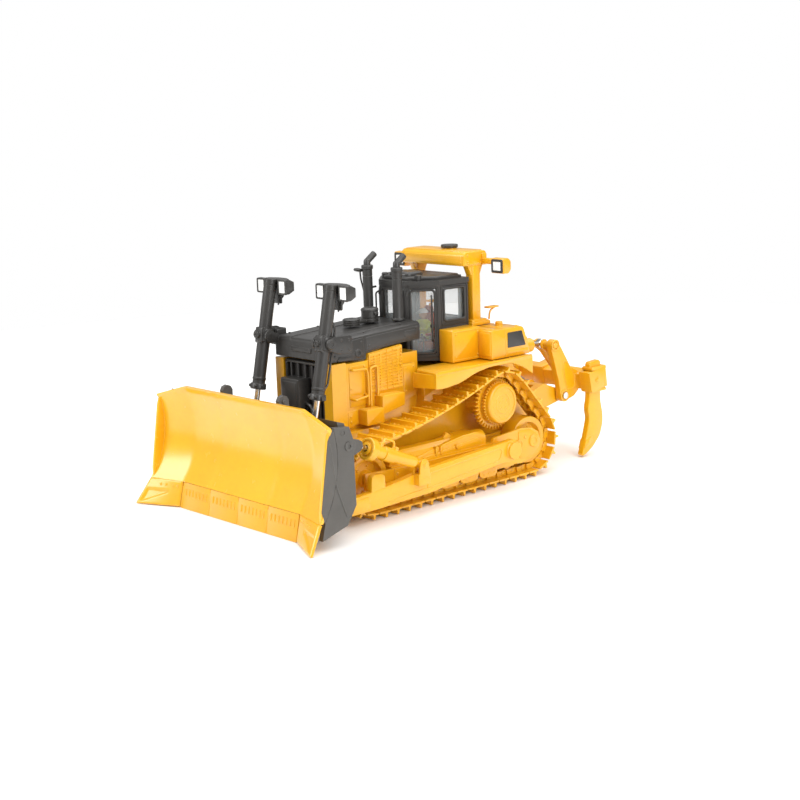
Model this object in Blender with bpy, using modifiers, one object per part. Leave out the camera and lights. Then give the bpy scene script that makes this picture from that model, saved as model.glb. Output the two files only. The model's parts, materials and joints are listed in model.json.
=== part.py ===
"""Toy bulldozer: a diecast high-drive crawler tractor with blade and ripper.

Sizes and places are millimetres, and MM turns them into metres. The blade points to -Y, the
machine's left side is +X and the ground is Z = 0. Stations along Y are counted from the front of
the ground contact. An empty carries every piece and centres the machine on the origin.
"""

import math

import bmesh
import bpy
import numpy as np
from mathutils import Matrix, Vector

MM = 0.001
SIDES = ((1, "left"), (-1, "right"))

# Clearances
GAP = 0.25            # between fixed neighbours
RUNNING = 0.3         # between a round pin and its bore
SLIDE = 0.25          # between a rod and its cylinder
OVERLAP = 0.4         # how far joined solids reach into each other

# Tracks
TRACK_CENTRE = 25.5
SHOE_WIDTH = 12.2
SHOE_PITCH = 5.2
LINK_HALF_HEIGHT = 1.0
SHOE_PLATE = 0.6
GROUSER = 1.6
GROUSER_START = 0.55
GROUSER_END = 0.72
RAIL_INNER = 1.3
RAIL_OUTER = 2.7
PIN_RADIUS = 10.1
SPROCKET_PIN_RADIUS = 10.3
TRACK_SAG = 2.4
BELT_OUT = LINK_HALF_HEIGHT + SHOE_PLATE + GROUSER
IDLER_HEIGHT = PIN_RADIUS + BELT_OUT
FRONT_IDLER = (-5.0, IDLER_HEIGHT)
REAR_IDLER = (72.0, IDLER_HEIGHT)
SPROCKET = (57.5, 29.1)

# Wheels
IDLER_RADIUS = math.sqrt(PIN_RADIUS**2 - (SHOE_PITCH / 2) ** 2) - LINK_HALF_HEIGHT - GAP
IDLER_HALF_WIDTH = 2.9
WHEEL_AXLE_RADIUS = 1.4
SPROCKET_TEETH = 25
TOOTH_HALF_WIDTH = RAIL_INNER - 0.35
HUB_RADIUS = 7.3
HUB_FACE = 4.9
SPROCKET_AXLE_RADIUS = 1.8
ROLLER_RADIUS = 2.2
ROLLER_COUNT = 7

# Hull and hood
HULL_HALF = 16.5
HULL_BOTTOM = 12.3
GUARD_HALF = 15.0
GUARD_FRONT = -7.5
PANEL_INNER = 13.0
PANEL_OUTER = 14.6
RAIL_HEIGHT = 47.4
HOOD_HALF = 14.4
HOOD_FRONT = -8.0
HOOD_REAR = 33.3
HOOD_TOP_FRONT = 58.0
HOOD_TOP_REAR = 60.2
GRILLE_HALF = 10.6
PLATFORM_TOP = 44.6
STEP_OUTER = TRACK_CENTRE - SHOE_WIDTH / 2 - 0.4
STACK_X = 7.7
STACK_Y = 29.3
STACK_RADIUS = 1.75

# Cab, roll-over frame and tanks
CAB_FRONT = 34.0
CAB_FRONT_HALF = 6.7
CAB_HALF = 15.0
CAB_SHOULDER = 42.4
CAB_REAR = 56.4
CAB_FLOOR = 45.0
CAB_EAVES = 71.6
CAB_TOP = CAB_EAVES + 2.4
CAB_WALL = 1.1
WINDOW_SILL = 58.5
WINDSCREEN_SILL = 52.0
ROPS_HALF = 16.2
ROPS_FRONT = 53.5
ROPS_REAR = 65.0
ROPS_BOTTOM = CAB_TOP + 3.0
ROPS_TOP = ROPS_BOTTOM + 5.0
POST_FRONT = 58.0
POST_REAR = 62.0
POST_INNER = 12.3
PLINTH_TOP = 57.6
ROOF_CAP = (2.5, 60.0)
DECK_TOP = 55.2
FENDER_FRONT = 24.6
FENDER_REAR = 72.4
FENDER_OUTER = 31.0
FENDER_INNER = 16.9
TANK_STEP = 22.0
TANK_OUTER = 28.6

# Blade
BLADE_HALF = 46.5
BLADE_CREASE = 32.0
BLADE_TOP = 41.8
BLADE_CORNER_TOP = 37.8
BLADE_LIP = -34.1
BLADE_FOOT = -36.6
WING_LIP = -35.7
WING_FOOT = -40.4
BLADE_EDGE_TOP = 8.8
BLADE_CURVE = 5.0
BLADE_SKIN = 1.2
BACK_SLOPE = 1.4      # the skin measured level, where its face slopes most
END_BIT_TIP = (48.6, -46.8)
ARM_INNER = 34.6
ARM_OUTER = 37.4
TRUNNION = (54.6, 13.8)
TRUNNION_RADIUS = 2.2
BLADE_PIN = (-25.0, 8.0)
BLADE_PIN_RADIUS = 1.1
LIFT_X = 16.0
LIFT_PIVOT = (-11.0, 58.0)
LIFT_EYE = (-19.0, 20.0)
LIFT_TUBE_RADIUS = 2.2
LIFT_TUBE_UP = 19.4
LIFT_TUBE_DOWN = 18.6
LIFT_ROD_RADIUS = 0.95
LIFT_ROD_LENGTH = 28.0
TILT_X = 38.0
TILT_PIVOT = (9.9, 17.3)
TILT_EYE = (-18.5, 28.7)
TILT_TUBE_RADIUS = 2.1
TILT_TUBE_LENGTH = 25.6
TILT_ROD_RADIUS = 0.9
TILT_ROD_LENGTH = 14.0

# Ripper
RIPPER_LINK_PIVOT = (87.5, 24.5)
RIPPER_PIN = (102.4, 23.8)
RIPPER_TOP = (97.4, 43.6)
RIPPER_PLATE = (16.6, 19.2)
RIPPER_LINK_HALF = 16.2
RIPPER_PIN_RADIUS = 1.3
TOOLBAR_HALF = 26.0
POCKET_X = 24.1
POCKET_HALF = 2.7
SHANK_HALF = 1.3
TIP_X = 12.0
TIP_TUBE_RADIUS = 2.5
TIP_TUBE_LENGTH = 9.0
TIP_ROD_RADIUS = 1.1
TIP_ROD_LENGTH = 8.5
RIPPER_LIFT_X = 7.0
RIPPER_LIFT_PIVOT = (82.0, 36.8)
RIPPER_LIFT_EYE = (95.0, 28.0)
RIPPER_LIFT_TUBE_RADIUS = 2.0
RIPPER_LIFT_TUBE_LENGTH = 8.6
RIPPER_LIFT_ROD_RADIUS = 1.0
RIPPER_LIFT_ROD_LENGTH = 8.65
REARMOST = 118.4

TIP_PIVOT = (
    RIPPER_TOP[0] - RIPPER_PIN[0] + RIPPER_LINK_PIVOT[0],
    RIPPER_TOP[1] - RIPPER_PIN[1] + RIPPER_LINK_PIVOT[1],
)
CENTRE_STATION = (END_BIT_TIP[1] + REARMOST) / 2

YELLOW = ("paint_yellow", (0.80, 0.47, 0.03), 0.35, 0.0)
BLACK = ("paint_black", (0.035, 0.032, 0.03), 0.5, 0.0)
STEEL = ("bright_steel", (0.75, 0.75, 0.74), 0.15, 1.0)
GLASS = ("window_glass", (0.85, 0.9, 0.9), 0.05, 0.0)
SEAT_RED = ("seat_red", (0.55, 0.09, 0.03), 0.6, 0.0)
CLOTHES = ("work_clothes", (0.45, 0.5, 0.04), 0.7, 0.0)


# ---------------------------------------------------------------- scene and basic solids
def clear_scene():
    for old in list(bpy.data.objects):
        bpy.data.objects.remove(old, do_unlink=True)


def new_collection(name):
    made = bpy.data.collections.new(name)
    bpy.context.scene.collection.children.link(made)
    return made


def material(finish):
    name, colour, roughness, metallic = finish
    made = bpy.data.materials.get(name)
    if made is None:
        made = bpy.data.materials.new(name)
        made.use_nodes = True
        shader = made.node_tree.nodes["Principled BSDF"]
        shader.inputs["Base Color"].default_value = (*colour, 1.0)
        shader.inputs["Roughness"].default_value = roughness
        shader.inputs["Metallic"].default_value = metallic
    return made


clear_scene()
PARTS = new_collection("toy_bulldozer")
TOOLS = new_collection("shaping_tools")
DATUM = bpy.data.objects.new("machine_datum", None)
DATUM.location = (0.0, -CENTRE_STATION * MM, 0.0)
PARTS.objects.link(DATUM)


def solid(mesh, side):
    """A shaping solid from a mesh in millimetres, mirrored for the right-hand side."""
    if side < 0:
        mesh.transform(Matrix.Scale(-1, 4, Vector((1, 0, 0))))
        mesh.flip_normals()
    mesh.transform(Matrix.Scale(MM, 4))
    made = bpy.data.objects.new("tool", mesh)
    TOOLS.objects.link(made)
    made.parent = DATUM
    made.hide_render = True
    made.display_type = "WIRE"
    return made


ACROSS = Matrix(((0, 0, 1, 0), (1, 0, 0, 0), (0, 1, 0, 0), (0, 0, 0, 1)))
ALONG = Matrix(((1, 0, 0, 0), (0, 0, -1, 0), (0, 1, 0, 0), (0, 0, 0, 1)))
UPWARD = Matrix.Identity(4)


def extruded(loops, low, high, turn, side):
    """A flat outline, with further loops as its holes, given thickness from low to high."""
    curve = bpy.data.curves.new("outline", "CURVE")
    curve.dimensions = "2D"
    curve.fill_mode = "BOTH"
    curve.extrude = (high - low) / 2
    for loop in loops:
        spline = curve.splines.new("POLY")
        spline.points.add(len(loop) - 1)
        for point, (a, b) in zip(spline.points, loop):
            point.co = (a, b, 0, 1)
        spline.use_cyclic_u = True
    guide = bpy.data.objects.new("outline", curve)
    TOOLS.objects.link(guide)
    bpy.context.view_layer.update()
    graph = bpy.context.evaluated_depsgraph_get()
    mesh = bpy.data.meshes.new_from_object(guide.evaluated_get(graph))
    bpy.data.objects.remove(guide, do_unlink=True)
    work = bmesh.new()
    work.from_mesh(mesh)
    bmesh.ops.remove_doubles(work, verts=work.verts, dist=0.001)
    bmesh.ops.recalc_face_normals(work, faces=work.faces)
    work.to_mesh(mesh)
    work.free()
    middle = (low + high) / 2
    mesh.transform(turn @ Matrix.Translation((0, 0, -middle if turn is ALONG else middle)))
    return solid(mesh, side)


def across(outline, low, high, side=1, holes=()):
    """An outline in (y, z), from low to high in x."""
    return extruded([outline, *holes], low, high, ACROSS, side)


def along(outline, low, high, side=1, holes=()):
    """An outline in (x, z), from low to high in y."""
    return extruded([outline, *holes], low, high, ALONG, side)


def upward(outline, low, high, side=1, holes=()):
    """An outline in (x, y), from low to high in z."""
    return extruded([outline, *holes], low, high, UPWARD, side)


def box(x, y, z, side=1):
    work = bmesh.new()
    bmesh.ops.create_cube(work, size=1)
    mesh = bpy.data.meshes.new("box")
    work.to_mesh(mesh)
    work.free()
    size = Matrix.Diagonal((x[1] - x[0], y[1] - y[0], z[1] - z[0], 1))
    centre = Matrix.Translation(((x[0] + x[1]) / 2, (y[0] + y[1]) / 2, (z[0] + z[1]) / 2))
    mesh.transform(centre @ size)
    return solid(mesh, side)


def rod(start, end, radius, sides=12, side=1, end_radius=None):
    """A round bar, or a cone, between two points."""
    start = Vector(start)
    run = Vector(end) - start
    work = bmesh.new()
    bmesh.ops.create_cone(
        work,
        cap_ends=True,
        segments=sides,
        radius1=radius,
        radius2=radius if end_radius is None else end_radius,
        depth=run.length,
    )
    mesh = bpy.data.meshes.new("rod")
    work.to_mesh(mesh)
    work.free()
    turn = Vector((0, 0, 1)).rotation_difference(run.normalized()).to_matrix().to_4x4()
    mesh.transform(Matrix.Translation(start + run / 2) @ turn)
    return solid(mesh, side)


def pin(place, radius, low, high, sides=10, side=1):
    """A round bar across the machine at the station and height of place."""
    return rod((low, *place), (high, *place), radius, sides, side)


def turned(profile, place, steps=24, side=1):
    """A profile of (radius, x) pairs turned about the cross axis through place."""
    mesh = bpy.data.meshes.new("turned")
    points = [(radius, 0, x) for radius, x in profile]
    mesh.from_pydata(points, [(i, i + 1) for i in range(len(points) - 1)], [])
    guide = bpy.data.objects.new("turned", mesh)
    TOOLS.objects.link(guide)
    screw = guide.modifiers.new("turn", "SCREW")
    screw.steps = steps
    screw.render_steps = steps
    screw.use_merge_vertices = True
    screw.merge_threshold = 0.0001
    bpy.context.view_layer.update()
    graph = bpy.context.evaluated_depsgraph_get()
    made = bpy.data.meshes.new_from_object(guide.evaluated_get(graph))
    bpy.data.objects.remove(guide, do_unlink=True)
    made.transform(Matrix.Translation((0, *place)) @ Matrix.Rotation(math.pi / 2, 4, "Y"))
    work = bmesh.new()
    work.from_mesh(made)
    bmesh.ops.remove_doubles(work, verts=work.verts, dist=0.001)
    bmesh.ops.recalc_face_normals(work, faces=work.faces)
    work.to_mesh(made)
    work.free()
    return solid(made, side)


def tube_along(start, end, outer, inner, blind, side=1, sides=12):
    """A cylinder barrel from start to end, bored from its end to blind short of its start."""
    start = Vector(start)
    end = Vector(end)
    way = (end - start).normalized()
    barrel = rod(start, end, outer, sides, side)
    bore = rod(start + way * blind, end + way * OVERLAP, inner, sides, side)
    return barrel, bore


def node(name, finish, base, add=(), cut=(), pivot=(0, 0, 0), late=()):
    """The named piece: the base solid with others joined, then cut, then late ones joined."""
    offset = Vector(pivot) * MM
    TOOLS.objects.unlink(base)
    PARTS.objects.link(base)
    base.name = name
    base.data.name = name
    base.data.transform(Matrix.Translation(-offset))
    base.location = offset
    base.hide_render = False
    base.display_type = "TEXTURED"
    for number, other in enumerate(add):
        joined = base.modifiers.new(f"join_{number}", "BOOLEAN")
        joined.operation = "UNION"
        joined.object = other
    for number, other in enumerate(cut):
        cutting = base.modifiers.new(f"cut_{number}", "BOOLEAN")
        cutting.operation = "DIFFERENCE"
        cutting.object = other
    for number, other in enumerate(late):
        joined = base.modifiers.new(f"late_{number}", "BOOLEAN")
        joined.operation = "UNION"
        joined.object = other
    base.data.materials.clear()
    base.data.materials.append(material(finish))
    base.data.set_sharp_from_angle(angle=math.radians(35))
    return base


def arc(centre, radius, start, end, steps):
    """Points on an arc, angles in degrees from +y towards +z, or from +x in a plan."""
    angles = np.radians(np.linspace(start, end, steps + 1))
    return [(centre[0] + radius * math.cos(a), centre[1] + radius * math.sin(a)) for a in angles]


def towards(start, end, distance):
    """The (y, z) point at a distance from start on the way to end."""
    run = np.subtract(end, start)
    return tuple(np.add(start, run / np.linalg.norm(run) * distance))


def at(x, place):
    return (x, place[0], place[1])


# ---------------------------------------------------------------- tracks
def outward_angle(first, first_radius, second, second_radius):
    """Angle of the outward normal of the line that touches both circles on their right."""
    run = np.subtract(second, first)
    heading = math.atan2(run[1], run[0])
    return heading - math.acos((first_radius - second_radius) / np.linalg.norm(run))


def track_line():
    """The line of the link pins: two idlers, the sprocket and a sagging upper run."""
    wheels = [
        (FRONT_IDLER, PIN_RADIUS),
        (REAR_IDLER, PIN_RADIUS),
        (SPROCKET, SPROCKET_PIN_RADIUS),
    ]
    normals = [
        outward_angle(*wheels[i], *wheels[(i + 1) % len(wheels)]) for i in range(len(wheels))
    ]
    line = []
    for i, (centre, radius) in enumerate(wheels):
        start = normals[i - 1]
        end = normals[i]
        if end < start:
            end += 2 * math.pi
        turn = np.linspace(start, end, 60)
        line.append(np.column_stack([np.cos(turn), np.sin(turn)]) * radius + centre)
    ends = (line[2][-1], line[0][0])
    share = np.linspace(0, 1, 62)[1:-1, None]
    upper = ends[0] + share * np.subtract(ends[1], ends[0])
    upper[:, 1] -= (4 * TRACK_SAG * share * (1 - share))[:, 0]
    return np.vstack([*line, upper])


def track_pins():
    """Pin places at an equal pitch round the track line."""
    line = track_line()
    line = np.vstack([line, line[:1]])
    steps = np.linalg.norm(np.diff(line, axis=0), axis=1)
    length = np.concatenate([[0], np.cumsum(steps)])
    count = round(length[-1] / SHOE_PITCH)
    marks = np.arange(count) * length[-1] / count
    return np.column_stack([np.interp(marks, length, line[:, i]) for i in range(2)])


def beside(pins, distance):
    """The pins moved outward along the mean normal of the two links that meet there."""
    ahead = np.roll(pins, -1, axis=0) - np.roll(pins, 1, axis=0)
    ahead /= np.linalg.norm(ahead, axis=1)[:, None]
    normal = np.column_stack([ahead[:, 1], -ahead[:, 0]])
    return pins + normal * distance


def grouser_loop(pins):
    """Outer outline of the shoes: each plate carries one upright bar across it."""
    plate = beside(pins, LINK_HALF_HEIGHT + SHOE_PLATE)
    tip = beside(pins, BELT_OUT)
    loop = []
    for i in range(len(pins)):
        after = (i + 1) % len(pins)
        run = plate[after] - plate[i]
        rise = (tip[i] + tip[after] - plate[i] - plate[after]) / 2
        foot = plate[i] + run * GROUSER_START
        heel = plate[i] + run * GROUSER_END
        loop += [foot, foot + rise, heel + rise, heel]
    return [tuple(point) for point in loop]


def make_track(side, word):
    pins = track_pins()
    inner = [tuple(point) for point in beside(pins, LINK_HALF_HEIGHT - OVERLAP / 2)]
    half = SHOE_WIDTH / 2
    shoes = across(grouser_loop(pins), TRACK_CENTRE - half, TRACK_CENTRE + half, side, [inner])
    rails = []
    for low, high in ((RAIL_INNER, RAIL_OUTER), (-RAIL_OUTER, -RAIL_INNER)):
        outside = [tuple(point) for point in beside(pins, LINK_HALF_HEIGHT)]
        inside = [tuple(point) for point in beside(pins, -LINK_HALF_HEIGHT)]
        rails.append(across(outside, TRACK_CENTRE + low, TRACK_CENTRE + high, side, [inside]))
    belt = node(f"track_{word}", YELLOW, shoes, rails)
    for joined in belt.modifiers:
        joined.solver = "MANIFOLD"


# ---------------------------------------------------------------- wheels
def make_idler(name, place, side):
    x = TRACK_CENTRE
    half = IDLER_HALF_WIDTH
    bore = WHEEL_AXLE_RADIUS + RUNNING
    profile = [
        (bore, x + half),
        (IDLER_RADIUS, x + half),
        (IDLER_RADIUS, x - half),
        (bore, x - half),
        (bore, x + half),
    ]
    node(name, YELLOW, turned(profile, place, 24, side), pivot=at(side * x, place))


def make_sprocket(side, word):
    x = TRACK_CENTRE
    root = SPROCKET_PIN_RADIUS - LINK_HALF_HEIGHT - 0.5
    crown = SPROCKET_PIN_RADIUS + 0.3
    step = 360 / SPROCKET_TEETH
    rim = []
    for tooth in range(SPROCKET_TEETH):
        for radius, share in ((root, 0.0), (crown, 0.5)):
            rim += arc(SPROCKET, radius, (tooth + share) * step, 0, 0)
    bore = SPROCKET_AXLE_RADIUS + RUNNING
    teeth = across(rim, x - TOOTH_HALF_WIDTH, x + TOOTH_HALF_WIDTH, side)
    drum = turned(
        [
            (0, x + HUB_FACE),
            (HUB_RADIUS - 0.6, x + HUB_FACE),
            (HUB_RADIUS, x + HUB_FACE - 0.6),
            (HUB_RADIUS, x - 0.4),
            (5.2, x - 0.4),
            (5.2, x - IDLER_HALF_WIDTH),
            (0, x - IDLER_HALF_WIDTH),
        ],
        SPROCKET,
        20,
        side,
    )
    hole = pin(SPROCKET, bore, x - IDLER_HALF_WIDTH - 1, x + 2.0, 10, side)
    name = f"sprocket_{word}"
    node(name, YELLOW, drum, [teeth], [hole], pivot=at(side * x, SPROCKET))


# ---------------------------------------------------------------- track frames and hull
def make_track_frame(side, word):
    rail_top = BELT_OUT + LINK_HALF_HEIGHT
    roller_height = rail_top + GAP + ROLLER_RADIUS
    front = FRONT_IDLER[0] + IDLER_RADIUS + 2 * GAP
    rear = REAR_IDLER[0] - IDLER_RADIUS - 2 * GAP
    web_outer = TRACK_CENTRE - IDLER_HALF_WIDTH - 2 * GAP
    cap_inner = TRACK_CENTRE + IDLER_HALF_WIDTH + 1.2
    beam = box((web_outer - 1, 30.0), (front, rear), (roller_height + 1, 16.0), side)
    web = box(
        (web_outer - 1.8, web_outer),
        (FRONT_IDLER[0] - 2.4, REAR_IDLER[0] + 2.4),
        (IDLER_HEIGHT - 3.2, IDLER_HEIGHT + 3.4),
        side,
    )
    tube = (TRACK_CENTRE, front + 0.5, 17.4), (TRACK_CENTRE, SPROCKET[0] - 7.5, 17.4)
    recoil = rod(*tube, 3.3, 12, side)
    joined = [web, recoil]
    for place in (FRONT_IDLER, REAR_IDLER):
        joined.append(pin(place, WHEEL_AXLE_RADIUS, web_outer - 1, cap_inner + 0.6, 10, side))
    rear_guard = [
        (47.0, 8.0),
        (66.0, 6.0),
        *arc((70.6, 12.6), 5.6, -80, 80, 4),
        (66.0, 18.8),
        (52.0, 17.6),
    ]
    joined.append(across(rear_guard, 29.6, cap_inner + 1.0, side))
    front_guard = [(front - 12.0, 10.2), (16.0, 7.8), (16.0, 15.0), (front - 12.0, 16.0)]
    joined.append(across(front_guard, 29.6, cap_inner + 1.0, side))
    spacing = (rear - front - 2 * ROLLER_RADIUS) / (ROLLER_COUNT - 1)
    for number in range(ROLLER_COUNT):
        station = front + ROLLER_RADIUS + number * spacing
        place = (station, roller_height)
        joined.append(pin(place, ROLLER_RADIUS, TRACK_CENTRE - 3, TRACK_CENTRE + 3, 8, side))
    joined.append(box((29.2, 30.6), (front + 1, rear - 1), (roller_height - 0.6, 9.5), side))
    joined.append(pin(TRUNNION, TRUNNION_RADIUS, 29.8, ARM_OUTER + GAP, 10, side))
    joined.append(pin(TRUNNION, TRUNNION_RADIUS + 0.9, ARM_OUTER + GAP, 38.6, 10, side))
    node(f"track_frame_{word}", YELLOW, beam, joined)


def make_chassis():
    hull = across(
        [
            (-3.0, 14.5),
            (2.0, HULL_BOTTOM),
            (80.0, HULL_BOTTOM),
            (85.0, 17.0),
            (85.0, 30.5),
            (79.6, 32.0),
            (76.0, PLATFORM_TOP - 1.6),
            (34.0, PLATFORM_TOP - 1.6),
            (31.2, 27.0),
            (-3.0, 27.0),
        ],
        -HULL_HALF,
        HULL_HALF,
    )
    guard = along(
        [(-GUARD_HALF, 17.0), (GUARD_HALF, 17.0), (GUARD_HALF, 50.2), (-GUARD_HALF, 50.2)],
        GUARD_FRONT,
        -1.4,
    )
    recess = box((-GRILLE_HALF, GRILLE_HALF), (GUARD_FRONT - 1, GUARD_FRONT + 3.4), (26.0, 52.0))
    core = box((-PANEL_INNER + GAP, PANEL_INNER - GAP), (-1.8, 33.0), (26.0, 49.6))
    deck = box((-16.4, 16.4), (CAB_REAR + 0.5, 68.0), (40.0, DECK_TOP))
    joined = [guard, core, deck]
    for side, _ in SIDES:
        inner = TRACK_CENTRE - IDLER_HALF_WIDTH
        axle_end = TRACK_CENTRE + 1.7
        joined.append(pin(SPROCKET, 5.4, 15.0, inner - 2 * GAP, 16, side))
        joined.append(pin(SPROCKET, SPROCKET_AXLE_RADIUS, 16.0, axle_end, 10, side))
        joined.append(pin((40.0, 14.0), 2.0, 15.0, inner - 2 * GAP - 1.9, 10, side))
        lug = [(80.0, 20.0), *arc(RIPPER_LINK_PIVOT, 2.5, -90, 90, 4), (80.0, 30.0)]
        joined.append(across(lug, 9.6, 12.6, side))
        joined.append(pin(RIPPER_LINK_PIVOT, 1.2, 12.0, RIPPER_LINK_HALF + 0.4, 10, side))
        for half in (-1, 1):
            cheek = sorted((TIP_X + half * 1.5, TIP_X + half * 2.4))
            tower = [(72.0, 41.0), (80.0, 39.0), *arc(TIP_PIVOT, 2.1, -30, 150, 4), (74.0, 43.0)]
            joined.append(across(tower, *cheek, side))
            cheek = sorted((RIPPER_LIFT_X + half * 1.3, RIPPER_LIFT_X + half * 2.0))
            foot = [(76.0, 31.0), (81.6, 30.4), *arc(RIPPER_LIFT_PIVOT, 1.4, 0, 140, 3), (76.0, 42.5)]
            joined.append(across(foot, *cheek, side))
        joined.append(pin(TIP_PIVOT, 0.9, TIP_X - 2.0, TIP_X + 2.0, 10, side))
        joined.append(pin(RIPPER_LIFT_PIVOT, 0.8, RIPPER_LIFT_X - 1.7, RIPPER_LIFT_X + 1.7, 10, side))
    node("chassis_frame", YELLOW, hull, joined, [recess])


# ---------------------------------------------------------------- hood and engine covers
def make_hood():
    outline = [
        (HOOD_FRONT, 50.8),
        (8.0, 50.0),
        (8.2, 52.4),
        (24.4, 53.6),
        (HOOD_REAR, 53.8),
        (HOOD_REAR, HOOD_TOP_REAR),
        (HOOD_FRONT + 1.2, HOOD_TOP_FRONT),
        (HOOD_FRONT, HOOD_TOP_FRONT - 1.2),
    ]
    cover = across(outline, -HOOD_HALF, HOOD_HALF)
    lugs = []
    holes = []
    for side, _ in SIDES:
        inner = LIFT_X - LIFT_TUBE_RADIUS - 1.5
        lug = [(HOOD_FRONT + 1, 55.2), *arc(LIFT_PIVOT, 2.3, 230, 130, 6), (HOOD_FRONT + 1, 57.8)]
        lugs.append(across(lug, inner, inner + 0.9, side))
        holes.append(pin(LIFT_PIVOT, 1.25, inner - 1, inner + 2, 10, side))
    node("hood", BLACK, cover, lugs, holes)


def make_grille():
    half = GRILLE_HALF - GAP
    back = GUARD_FRONT + 3.4 - GAP
    frame = box((-half, half), (GUARD_FRONT + 0.4, back), (26.0 + GAP, 50.0))
    slots = []
    bars = 5
    slot = 2 * (half - 1.2) / bars
    for number in range(bars):
        low = -half + 1.2 + number * slot
        slots.append(box((low + 0.5, low + slot - 0.5), (-20, GUARD_FRONT + 1.6), (27.5, 48.6)))
    case = box((-8.2, 1.4), (GUARD_FRONT - 3.6, GUARD_FRONT + 2.4), (34.2, 44.4))
    node("radiator_grille", BLACK, frame, cut=slots, late=[case])


def make_engine_panel(side, word):
    front = GUARD_FRONT + 6.4
    outline = [
        (front, 27.6),
        (30.5, 34.6),
        (30.5, 46.0),
        (24.2, 46.0),
        (24.2, 53.2),
        (9.0, 51.9),
        (8.7, 49.6),
        (front, 49.6),
    ]
    plate = across(outline, PANEL_INNER, PANEL_OUTER, side)
    first = across(
        [(3.8, 28.4), (11.6, 28.4), (11.6, 33.6), (3.8, 33.6)], PANEL_OUTER - 1, STEP_OUTER, side
    )
    upper_step = [(11.2, 31.0), (21.4, 33.0), (21.4, 37.4), (11.2, 37.4)]
    second = across(upper_step, PANEL_OUTER - 0.7, STEP_OUTER - 0.3, side)
    reach = PANEL_OUTER + 1.4
    rail = [rod((reach, 0.4, RAIL_HEIGHT), (reach, 7.2, RAIL_HEIGHT), 0.45, 8, side)]
    for station in (0.8, 6.8):
        foot = (PANEL_OUTER - 0.6, station, RAIL_HEIGHT)
        rail.append(rod(foot, (reach + 0.1, station, RAIL_HEIGHT), 0.36, 6, side))
    node(f"engine_panel_{word}", YELLOW, plate, [first, second, *rail])


def make_stack(side, word):
    base = HOOD_TOP_REAR + GAP
    tube = rod((STACK_X, STACK_Y, base), (STACK_X, STACK_Y, 77.6), STACK_RADIUS, 10, side)
    collar = rod((STACK_X, STACK_Y, 77.2), (STACK_X, STACK_Y, 78.6), 2.1, 10, side)
    neck = rod((STACK_X, STACK_Y, 78.2), (STACK_X, STACK_Y, 80.4), 1.2, 10, side)
    tip = rod((STACK_X, STACK_Y - 0.2, 79.7), (STACK_X, STACK_Y + 3.6, 82.5), 1.15, 10, side)
    node(f"exhaust_stack_{word}", BLACK, tube, [collar, neck, tip])


def make_precleaner():
    base = HOOD_TOP_FRONT + 1.5
    bowl = rod((0, 14.5, base), (0, 14.5, 62.0), 3.1, 20)
    drum = rod((0, 23.0, base + 0.5), (0, 23.0, 65.0), 3.0, 20)
    duct = box((-1.4, 1.4), (15.0, 22.0), (base + 0.4, base + 1.6))
    node("precleaner", BLACK, duct, [bowl, drum])


def make_yoke(side, word):
    inner = LIFT_X + LIFT_TUBE_RADIUS + 0.6
    plate = [
        (-2.0, 54.0),
        (-2.0, 60.0),
        (-8.5, 60.3),
        *arc(LIFT_PIVOT, 2.3, 110, 250, 6),
        (-8.5, 54.6),
    ]
    cheek = across(plate, inner, inner + 0.9, side)
    foot = box((HOOD_HALF + GAP, inner + 0.6), (-6.6, -2.4), (54.4, 59.4), side)
    hole = pin(LIFT_PIVOT, 1.25, inner - 1, inner + 2, 10, side)
    node(f"cylinder_yoke_{word}", BLACK, cheek, [foot], [hole])


# ---------------------------------------------------------------- cab
def cab_plan(inset):
    """Plan outline of the cab walls, moved inwards by inset."""
    slant = inset * math.tan(math.radians(22.5))
    half = CAB_HALF - inset
    front = CAB_FRONT + inset
    rear = CAB_REAR - inset
    narrow = CAB_FRONT_HALF - slant
    shoulder = CAB_SHOULDER + slant
    return [
        (-narrow, front),
        (narrow, front),
        (half, shoulder),
        (half, rear),
        (-half, rear),
        (-half, shoulder),
    ]


def make_cab():
    walls = upward(cab_plan(0), CAB_FLOOR, CAB_EAVES, holes=[cab_plan(CAB_WALL)])
    roof = upward(cab_plan(-0.3), CAB_EAVES - 0.2, CAB_TOP - 0.9)
    crown = upward(cab_plan(1.6), CAB_EAVES, CAB_TOP)
    low = CAB_FLOOR + 2.6
    high = CAB_EAVES - 1.4
    cuts = [
        box(
            (-CAB_FRONT_HALF + 1.2, CAB_FRONT_HALF - 1.2),
            (CAB_FRONT - 1, CAB_FRONT + 1.6),
            (WINDSCREEN_SILL, high),
        ),
        box((-11.0, 11.0), (CAB_REAR - 2, CAB_REAR + 1), (WINDOW_SILL, high)),
    ]
    for side, _ in SIDES:
        start = (CAB_FRONT_HALF + 1.0, CAB_FRONT + 1.0)
        end = (CAB_HALF - 1.0, CAB_SHOULDER - 1.0)
        door = [
            (start[0] + 1, start[1] - 1),
            (end[0] + 1, end[1] - 1),
            (end[0] - 1.6, end[1] + 1.6),
            (start[0] - 1.6, start[1] + 1.6),
        ]
        cuts.append(upward(door, low, high, side))
        run = (CAB_SHOULDER + 1.8, CAB_REAR - 1.6)
        cuts.append(box((CAB_HALF - 2, CAB_HALF + 1), run, (WINDOW_SILL, high), side))
    node("cab_frame", BLACK, walls, [roof, crown], cuts)
    inset = CAB_WALL + GAP
    panes = upward(cab_plan(inset), CAB_FLOOR + 1, CAB_EAVES - 0.5, holes=[cab_plan(inset + 0.4)])
    node("cab_glazing", GLASS, panes)


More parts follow.
